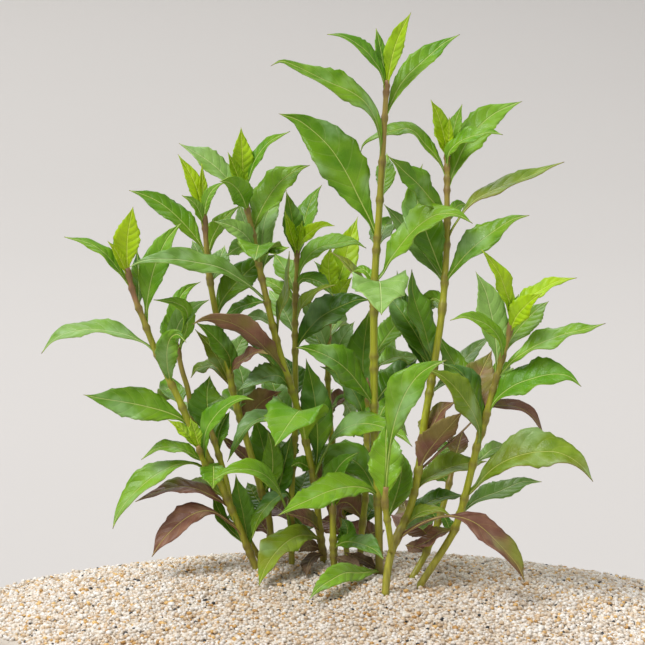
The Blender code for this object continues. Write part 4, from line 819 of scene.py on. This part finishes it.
# The back centre stem
# A thin cutting far back in the clump, whose bright top shows between the others and whose lower leaves
# are in their shade.
BACK_CENTRE_STEM = Stem(
    ((334, 292), (330, 320), (328, 350), (328, 385), (331, 430), (338, 490), (344, 530), (348, 562)), 58,
    30, 2.2, 3.0
)
BACK_CENTRE_STEM_LEAVES = (
    Leaf(((333, 300), (330, 281), (328.5, 265), (331, 246)), 10, -4, 12, "young"),
    Leaf(((334, 302), (339, 280), (345, 260), (350, 240), (358, 216)), 13, -16, 10, "young"),
    Leaf(((333, 298), (327, 279), (320, 267), (314, 261)), 7, -10, 35, "pale"),
    Leaf(((333, 306), (341, 290), (352, 277)), 8, 6, 25, "young"),
    Leaf(((328, 380), (337, 350), (345, 334), (355, 321)), 14, -28, 15, "pale"),
    Leaf(((328, 360), (320, 345), (315, 330), (318, 312)), 13, -30, 15, "green"),
    Leaf(((328.5, 352), (320, 328), (312, 314), (305, 303), (298, 293.5)), 11, 2, 22, "pale"),
    Leaf(((330, 415), (338, 400), (348, 395), (358, 390)), 9, -20, 45, "bronze"),
    Leaf(((330, 408), (341, 402), (350, 410), (354, 426)), 10, -26, 35, "pale"),
    Leaf(((331, 440), (322, 420), (324, 400), (334, 388)), 14, -40, 20, "green"),
    Leaf(((328, 340), (335, 324), (340, 320), (344, 330)), 13, -50, 35, "green"),
    Leaf(((334, 470), (322, 455), (309, 452)), 13, -20, 25, "dark"),
    Leaf(((338, 495), (326, 480), (312, 479), (301, 490)), 13, -18, 20, "bronze"),
    Leaf(((342, 518), (354, 502), (364, 486)), 13, -16, 15, "dark"),
    Leaf(((345, 538), (332, 523), (320, 520)), 12, -16, 20, "bronze"),
)
grow("back_centre_stem", ("back_centre_stem", BACK_CENTRE_STEM, BACK_CENTRE_STEM_LEAVES))

# The rear stem
# A short cutting pushed into the sand at the back, deep in the others' shade, with one deep green leaf of
# full size and smaller green and bronze ones.
REAR_STEM = Stem(((368, 378), (367, 440), (366, 490), (362, 530), (360, 562)), 40, 14, 2.4, 3.2)
REAR_STEM_LEAVES = (
    Leaf(((367, 400), (363, 372), (364, 345), (369, 310)), 17, -12, 5, "dark", True),
    Leaf(((367, 432), (360, 405), (350, 387), (338, 374), (320, 366)), 13, -6, 42, "dark"),
    Leaf(((368, 385), (375, 362), (385, 345), (390, 322)), 13, -30, 20, "green"),
    Leaf(((367, 440), (357, 429), (348, 434)), 10, -10, 30, "green"),
    Leaf(((367, 450), (382, 428), (398, 425), (408, 436)), 13, -44, 30, "green"),
    Leaf(((366, 480), (374, 455), (388, 448), (402, 455)), 13, -34, 35, "dark"),
    Leaf(((365, 500), (352, 480), (345, 478), (340, 490)), 14, -48, 35, "olive"),
    Leaf(((364, 520), (350, 504), (338, 505), (328, 520)), 13, -20, 25, "bronze"),
    Leaf(((363, 524), (375, 506), (390, 500)), 13, -26, 25, "dark"),
    Leaf(((361, 545), (350, 530), (341, 526)), 12, -14, 20, "bronze"),
    Leaf(((361, 545), (372, 533), (385, 530)), 11, -16, 30, "bronze"),
)
grow("rear_stem", ("rear_stem", REAR_STEM, REAR_STEM_LEAVES))

# The left centre stem
# A cutting that bows to the left, with the clump's widest spread of leaves: pale ones lightened with painted
# sheen above, and green and bronze ones below.
LEFT_CENTRE_STEM = Stem(
    ((244, 186), (246.5, 206), (252.5, 232), (260, 270), (268.5, 308), (275, 335), (282, 360), (288.5, 380),
     (298, 410), (304, 434), (309.5, 458), (314, 480), (317, 505), (320, 532), (324, 563)), 8, 26, 2.4, 3.6
)
LEFT_CENTRE_STEM_LEAVES = (
    Leaf(((244, 193), (243, 172), (242, 152), (241, 127)), 10, 3, 10, "young"),
    Leaf(((244, 194), (237, 174), (228, 152)), 6, 8, 25, "young"),
    Leaf(((245, 193), (249, 178), (254.5, 161.5), (262, 149), (272, 140), (290, 131)), 8, 6, 52, "fresh"),
    Leaf(((244, 200), (236, 189), (227, 178.5), (217, 168), (205, 158.5), (191, 150), (179, 143)), 13, -8,
         42, "pale"),
    Leaf(((246.5, 211), (243.5, 200), (238, 190), (230, 183), (220, 181)), 12, 24, 15, "fresh"),
    Leaf(((253, 237), (256, 223), (261.5, 209), (269, 195.5), (278.5, 184), (289, 175), (299, 168.5),
          (310, 165)), 17, -6, 36, "green", True),
    Leaf(((261.5, 277), (262, 255), (262.5, 238), (265, 221), (271, 206), (279, 196), (287, 189.5)), 15,
         -24, 26, "pale", True),
    Leaf(((257, 254), (250, 235), (243, 217), (238, 202)), 11, -20, 22, "pale"),
    Leaf(((257, 252), (248, 238), (237, 229), (226, 224), (214, 221)), 10, 14, 32, "pale"),
    Leaf(((259, 262), (259.5, 254), (260, 247), (259, 244.5), (257.5, 250), (254.5, 261)), 21, 34, LEVEL,
         "green"),
    Leaf(((258, 257), (267, 249.5), (278, 250), (289, 247)), 7, 12, 35, "fresh"),
    Leaf(((258, 264), (250, 250), (239, 247), (226, 256)), 11, -10, 34, "pale"),
    Leaf(((265, 302), (256, 291.5), (247, 284), (236, 276.5), (224, 269.5), (211, 265), (197, 262.5),
          (182, 260), (166, 259), (150, 259.5), (139, 262), (127.5, 268)), 13, 40, 44, "pale", True, 0.12),
    Leaf(((266, 304), (258, 302), (248, 304), (237, 308.5), (223.5, 316)), 9, -10, 45, "fresh"),
    Leaf(((272, 327), (264, 319.5), (256, 316.5), (244, 316)), 8, -18, 40, "pale"),
    Leaf(((287, 376), (281, 366), (273, 356), (263.5, 345.5), (253, 335.5), (241, 327.5), (228, 321.5),
          (214, 318.5), (202, 319.5), (191.5, 324.5)), 15, 30, 130, "bronze", True, 0.1),
    Leaf(((285, 382), (275, 365), (262, 351), (247, 341)), 9, -4, 60, "dark"),
    Leaf(((289, 390), (281, 377), (270, 376), (259, 379.5), (248, 384), (237.5, 391)), 11, 16, 45, "dark"),
    Leaf(((277, 342), (279, 318), (285, 294), (288, 270), (289, 251)), 8, 2, 66, "olive"),
    Leaf(((302, 418), (285, 417), (268, 416), (252, 422), (239, 439), (227, 462)), 10, 22, 56, "dark"),
    Leaf(((315, 478), (317.5, 450), (317, 425), (315, 402), (311.5, 382), (306, 358)), 16, -4, 8, "dark",
         True, 0.15),
    Leaf(((315, 478), (320, 463), (326.5, 449), (333, 438), (342, 430.5), (353, 425.5), (367, 423.5),
          (381, 426), (393, 431), (404, 438), (412.5, 446.5)), 15, 50, 48, "green", True, 0.3),
    Leaf(((305.4, 440), (303.5, 427), (302, 415), (299, 410.5), (288, 425), (274.5, 446.5)), 29, 50, LEVEL,
         "fresh", True),
    Leaf(((321, 542), (312, 536), (301, 535.5), (290, 539.5), (280, 547), (271.5, 557.5), (264.5, 570),
          (258.5, 586.5)), 16, 62, 32, "olive", True),
    Leaf(((320, 530), (312, 522), (303, 517), (286, 513.5)), 10, 28, 50, "bronze"),
    Leaf(((313, 472), (305, 465), (298, 463), (291, 466)), 8, 5, 30, "green"),
    Leaf(((322, 554), (313, 557), (308, 565), (306.5, 577)), 6, 44, 30, "dry"),
    Leaf(((321, 549), (310, 546), (298, 552)), 6, 8, 30, "dry"),
)
grow("left_centre_stem", ("left_centre_stem", LEFT_CENTRE_STEM, LEFT_CENTRE_STEM_LEAVES))

# The left inner stem
# A cutting that leans left between its neighbours, pushed into the sand beside them, with bright upper leaves
# and deep green ones in the clump.
LEFT_INNER_STEM = Stem(
    ((204, 214), (207, 253), (211, 287), (219, 328), (228, 364), (233, 392), (240, 418), (247, 441),
     (254, 465), (261, 490), (269, 518), (271, 539), (275, 562)), 2, 30, 2.4, 3.5
)
LEFT_INNER_STEM_LEAVES = (
    Leaf(((203.5, 221), (201, 203), (195.5, 186), (188, 170), (178, 154)), 8, -5, 28, "young"),
    Leaf(((204, 218), (203, 198), (202.5, 180), (202, 163)), 4.5, -3, 30, "young"),
    Leaf(((204, 227), (200, 213), (193, 202), (182, 195)), 6, 12, 40, "fresh"),
    Leaf(((204, 222), (205.5, 205), (210.5, 193), (217.5, 185.5), (225, 182)), 6, 4, 35, "fresh"),
    Leaf(((208, 261), (203, 249), (196, 238), (188, 228), (178, 217.5), (167, 208), (155, 200),
          (143, 194.5), (129, 190)), 14, -8, 42, "green", True, 0.12),
    Leaf(((208, 262), (211, 242), (217, 229), (225, 217.5), (240, 205)), 8, -10, 32, "green"),
    Leaf(((209, 280), (203, 262), (198, 252), (192, 240)), 10, -26, 20, "pale"),
    Leaf(((210, 285), (217, 268), (221, 256), (225, 245)), 11, -30, 20, "pale"),
    Leaf(((215, 319), (221, 303), (229, 291), (239, 279.5), (250, 269), (262, 261), (277, 254)), 15, -20,
         28, "dark", True),
    Leaf(((231, 374), (230, 360), (225, 350), (217, 340), (208, 331), (196, 322)), 11, 14, 38, "dark"),
    Leaf(((231, 388), (224, 371), (216, 356.5), (207, 342.5), (195, 329)), 9, -4, 36, "olive"),
    Leaf(((231, 389), (222, 374), (213, 366), (204, 367), (196, 368.5), (190.5, 378)), 9, -22, 48, "olive"),
    Leaf(((230, 376), (235, 366), (242, 360), (251, 354), (260, 352), (269, 354)), 8, 20, 60, "bronze"),
    Leaf(((229, 374), (234, 358), (240, 343), (249, 332)), 11, -28, 20, "pale"),
    Leaf(((238, 412), (243, 394), (242, 376), (236, 360)), 12, -34, 15, "pale"),
    Leaf(((243, 433), (252, 413), (264, 400), (281, 391)), 13, -12, 145, "bronze"),
    Leaf(((255, 468), (243, 455), (232, 445), (220, 435)), 7, -8, 50, "bronze"),
    Leaf(((261, 490), (265, 462), (261, 438), (254, 417)), 14, -24, 10, "dark"),
    Leaf(((263, 496), (272, 474), (272, 450), (268, 431)), 11, 4, 15, "green"),
    Leaf(((267, 508), (279, 486), (285, 462), (292, 433)), 11, 6, 28, "dark"),
    Leaf(((240, 418), (232, 402), (227, 399), (222, 409)), 13, -48, 35, "green"),
    Leaf(((267, 512), (256, 497), (247, 482)), 12, -18, 15, "dark"),
    Leaf(((271, 536), (260, 522), (249, 514)), 10, -16, 20, "bronze"),
)
grow("left_inner_stem", ("left_inner_stem", LEFT_INNER_STEM, LEFT_INNER_STEM_LEAVES))

# The far left stem
# The cutting that leans furthest left. Two side shoots grew out of its lower third, 15 mm apart, and are one
# with it.
FAR_LEFT_STEM = Stem(
    ((127, 268), (133.5, 294), (143.5, 320), (154, 347), (167, 375), (180, 402), (189.5, 424), (206, 455),
     (219, 480), (231, 508), (243, 536), (256, 568)), -14, 10, 2.4, 3.6
)
FAR_LEFT_STEM_LEAVES = (
    Leaf(((128, 274), (127, 255), (127.5, 238), (130, 222), (133, 206.5)), 12, 3, 5, "young"),
    Leaf(((128, 274), (122, 252), (121, 236), (125, 222)), 8, -7, 20, "fresh"),
    Leaf(((128, 277), (121, 261), (115.5, 250), (108, 241)), 5, 8, 35, "young"),
    Leaf(((129, 290), (122, 275), (113, 262), (104, 252.5), (92, 245), (80, 240.5), (64, 236.5)), 9, 4, 56,
         "fresh"),
    Leaf(((138, 309), (138.5, 288), (138, 268), (137, 250)), 7, -22, 15, "dark"),
    Leaf(((144.5, 327), (146.5, 308), (149, 290), (152, 276), (155.5, 264.5), (160.5, 252), (166.5, 240),
          (173.5, 231), (182, 222)), 13, -8, 18, "fresh", True, 0.14),
    Leaf(((156, 356), (147, 345), (138, 340), (127, 335), (115, 332), (103, 330), (90, 329), (78, 330.5),
          (68, 332.5), (58, 337), (49, 343.5), (41, 353.5)), 14, 8, 58, "pale", True, 0.12),
    Leaf(((169, 386), (167.5, 367), (167, 350), (170.5, 338), (178, 334.5), (186.5, 343)), 10.5, 18, 5,
         "green"),
    Leaf(((191, 429), (183.5, 420.5), (175, 415.5), (163, 411), (150, 407.5), (135, 404), (118, 401),
          (101, 398.5), (83, 394.5)), 17, 8, 25, "green", True, 0.1),
    Leaf(((208, 465), (200, 459.5), (191, 453.5), (180, 448), (168, 447), (155, 449.5), (141, 459.5)), 9, 9,
         54, "green"),
    Leaf(((209, 474), (203, 468), (194, 463.5), (182, 463.5), (170, 467), (158, 473.5), (146, 482.5),
          (134, 493.5), (124, 504.5), (116.5, 517), (112.5, 529)), 14, 16, 46, "green", True, 0.18),
    Leaf(((228, 509), (219, 500), (208, 494), (195, 488.5), (181, 486.5), (166, 489), (150, 495),
          (135, 501.5)), 11, 8, 60, "bronze"),
    Leaf(((219, 500), (209, 486), (197, 482.5), (183, 482)), 7, -14, 42, "olive"),
    Leaf(((249, 545), (240, 531.5), (228, 521.5), (215, 512.5), (203, 511), (192, 514.5), (181, 521.5),
          (170, 531.5), (160, 543.5), (151.5, 557)), 15, 18, 40, "bronze", True, 0.36),
    Leaf(((246, 546), (238, 537), (226, 524), (217, 506), (212, 488)), 9, -8, 50, "green"),
    Leaf(((248, 553), (246, 530), (242.5, 512), (239, 495), (236, 474)), 11, -2, 22, "dark"),
    Leaf(((213, 472), (213.5, 466), (213.5, 473), (213, 489)), 12, 20, 5, "green"),
    Leaf(((181, 406), (172, 392), (167, 389), (162, 399)), 13, -46, 35, "green"),
)
LEFT_BRANCH = Stem(((209, 424), (214, 440), (219, 456), (226, 480), (231, 508)), 4, 5, 2.4, 3.0)
LEFT_BRANCH_LEAVES = (
    Leaf(((214, 441), (210, 425), (207.5, 408), (207, 392), (210, 375)), 16, -16, 5, "dark"),
    Leaf(((218, 456), (218, 440), (222, 425), (230, 411)), 9, -12, 20, "green"),
)
LEFT_SPRIG = Stem(((198, 446), (203, 460), (210, 471), (219, 480)), -8, 3, 2.2, 2.8)
LEFT_SPRIG_LEAVES = (
    Leaf(((200, 451), (191, 438), (181, 428), (168, 419.5)), 7, 4, 40, "young"),
    Leaf(((200, 450), (196, 436), (190.5, 417.5)), 6, 2, 20, "young"),
    Leaf(((205, 465), (204, 444), (206.5, 430), (213, 418.5), (222, 408.5), (233, 401.5), (244, 398),
          (255, 400)), 11, 13, 46, "fresh"),
)
grow(
    "far_left_stem",
    ("far_left_stem", FAR_LEFT_STEM, FAR_LEFT_STEM_LEAVES),
    ("left_branch", LEFT_BRANCH, LEFT_BRANCH_LEAVES),
    ("left_sprig", LEFT_SPRIG, LEFT_SPRIG_LEAVES),
)

# The left back stem
# A thin cutting behind the far left one, pushed into the sand at its side, with a few small leaves, the
# lowest near its foot.
LEFT_BACK_STEM = Stem(
    ((176, 343), (182, 370), (188, 390), (192, 415), (201, 440), (214, 470), (232, 505), (249, 540),
     (264, 564)), 8, 24, 2.4, 3.0
)
LEFT_BACK_STEM_LEAVES = (
    Leaf(((177, 350), (175, 328), (176, 310), (181, 296), (189, 287.5), (201, 281.5)), 8, -14, 20, "fresh"),
    Leaf(((178, 352), (187, 326), (186, 310), (177, 303.5), (166, 301), (153.5, 299.5)), 8, 12, 40,
         "fresh"),
    Leaf(((176, 354), (175, 338), (179, 324), (187, 313), (197, 305.5), (209, 299.5)), 11, 4, 36, "pale"),
    Leaf(((176, 354), (170.5, 338), (168.5, 325), (170, 308)), 9, -20, 20, "green"),
    Leaf(((192, 418), (186, 406), (181, 400)), 8, -40, 35, "pale"),
    Leaf(((246, 535), (240, 515), (232, 500)), 11, -12, 20, "dark"),
)
grow("left_back_stem", ("left_back_stem", LEFT_BACK_STEM, LEFT_BACK_STEM_LEAVES))

# The front shoot
# A short cutting low in the middle of the clump, that ends in a few small leaves just over the sand and
# hides the feet of the stems behind it.
FRONT_SHOOT = Stem(((333, 503), (333, 530), (334, 562)), 4, 2, 2.8, 3.4)
FRONT_SHOOT_LEAVES = (
    Leaf(((333, 512), (331, 490), (335, 473), (345, 460), (359, 452)), 11, 6, 18, "fresh"),
    Leaf(((333, 510), (338, 492), (344, 486), (352, 480)), 7, -6, 30, "young"),
    Leaf(((334, 548), (343, 542.5), (354, 542.5), (366, 545.5), (376, 551), (384.5, 560)), 11, 26, 40,
         "green"),
    Leaf(((334, 540), (346, 536), (347, 526), (341, 518)), 8, -8, 20, "dark"),
    Leaf(((334, 556), (343, 560), (353, 563), (362, 569)), 6, 16, 40, "dry"),
)
grow("front_shoot", ("front_shoot", FRONT_SHOOT, FRONT_SHOOT_LEAVES))

# The camera
# It stands at the eye that the routes are seen from, level with the plant's top third, and looks 6 degrees
# down. Its lens draws the plane through the aim at 2 pixels to the millimetre, on a sheet of 645 pixels.
camera = bpy.data.objects.new("camera", bpy.data.cameras.new("camera"))
bpy.context.scene.collection.objects.link(camera)
camera.location = EYE * MM
camera.rotation_euler = (math.radians(90.0) - LOOK_DOWN, 0.0, 0.0)
camera.data.sensor_width = 36.0
camera.data.lens = 36.0 * PIXELS_PER_METRE_AHEAD / (2 * SHEET_MIDDLE)
camera.data.clip_end = 50.0
bpy.context.scene.camera = camera

# The studio
# A pale paper floor that turns up into a low wall all round, with painted shade that darkens it to the right
# and upwards, under a bright even sky, with one broad sun from the upper left in front, a weak one from the
# right and another from behind.
bm = bmesh.new()
loop = bmesh.ops.create_circle(bm, cap_ends=True, segments=96, radius=2.2)["verts"]
for radius, height in ((3.0, 0.04), (3.6, 0.16), (4.1, 0.4), (4.4, 0.75), (4.5, 1.2), (4.5, 1.9)):
    loop = next_ring(bm, loop)
    for vert in loop:
        level = Vector((vert.co.x, vert.co.y, 0.0)).normalized() * radius
        vert.co = (level.x, level.y, height)
bmesh.ops.recalc_face_normals(bm, faces=bm.faces)
bmesh.ops.reverse_faces(bm, faces=bm.faces)
mesh = bpy.data.meshes.new("studio_floor")
bm.to_mesh(mesh)
bm.free()
mesh.shade_smooth()
backdrop = bpy.data.objects.new("studio_floor", mesh)
bpy.context.scene.collection.objects.link(backdrop)
paper, shader, node, link, mix = new_material("backdrop paper", 0.9)
shader.inputs["Specular IOR Level"].default_value = 0.0
place = node("TexCoord").outputs["Object"]
away = node("VectorMath", {0: place}, operation="LENGTH").outputs["Value"]
far = node("MapRange", {"Value": away, "From Min": 1.0, "From Max": 4.6}).outputs["Result"]
paper_tone = ramp(
    node("ValToRGB", {"Fac": far}),
    ((0.0, (0.615, 0.594, 0.580)), (1.0, (0.585, 0.568, 0.552))),
)
# Painted shade: the paper darkens towards the right and upwards, like a lamp's falloff from the left.
parts = node("SeparateXYZ", {"Vector": place})
rightward = node("MapRange", {"Value": parts.outputs["X"], "From Min": -1.0, "From Max": 1.0})
shade = node("MapRange", {"Value": parts.outputs["Z"], "From Max": 0.6, "To Min": 0.10, "To Max": 0.22})
fall = node("Math", {0: rightward.outputs["Result"], 1: shade.outputs["Result"]}, operation="MULTIPLY")
link(mix(fall.outputs["Value"], paper_tone, (0.0, 0.0, 0.0)), "Base Color")
mesh.materials.append(paper)

for name, place, width, power in (
    ("key", (-0.9, -0.75, 1.6), 30.0, 2.6),
    ("fill", (1.6, -0.9, 1.0), 60.0, 0.4),
    ("back", (-0.2, 1.3, 1.5), 40.0, 0.75),
):
    lamp = bpy.data.lights.new(name, "SUN")
    lamp.angle = math.radians(width)
    lamp.energy = power
    light = bpy.data.objects.new(name, lamp)
    light.location = place
    light.rotation_euler = Vector(place).to_track_quat("Z", "Y").to_euler()
    bpy.context.scene.collection.objects.link(light)

world = bpy.data.worlds.new("sky")
world.use_nodes = True
world.node_tree.nodes["Background"].inputs["Color"].default_value = (1.0, 0.98, 0.95, 1.0)
world.node_tree.nodes["Background"].inputs["Strength"].default_value = 0.40
bpy.context.scene.world = world
bpy.context.scene.view_settings.view_transform = "Standard"
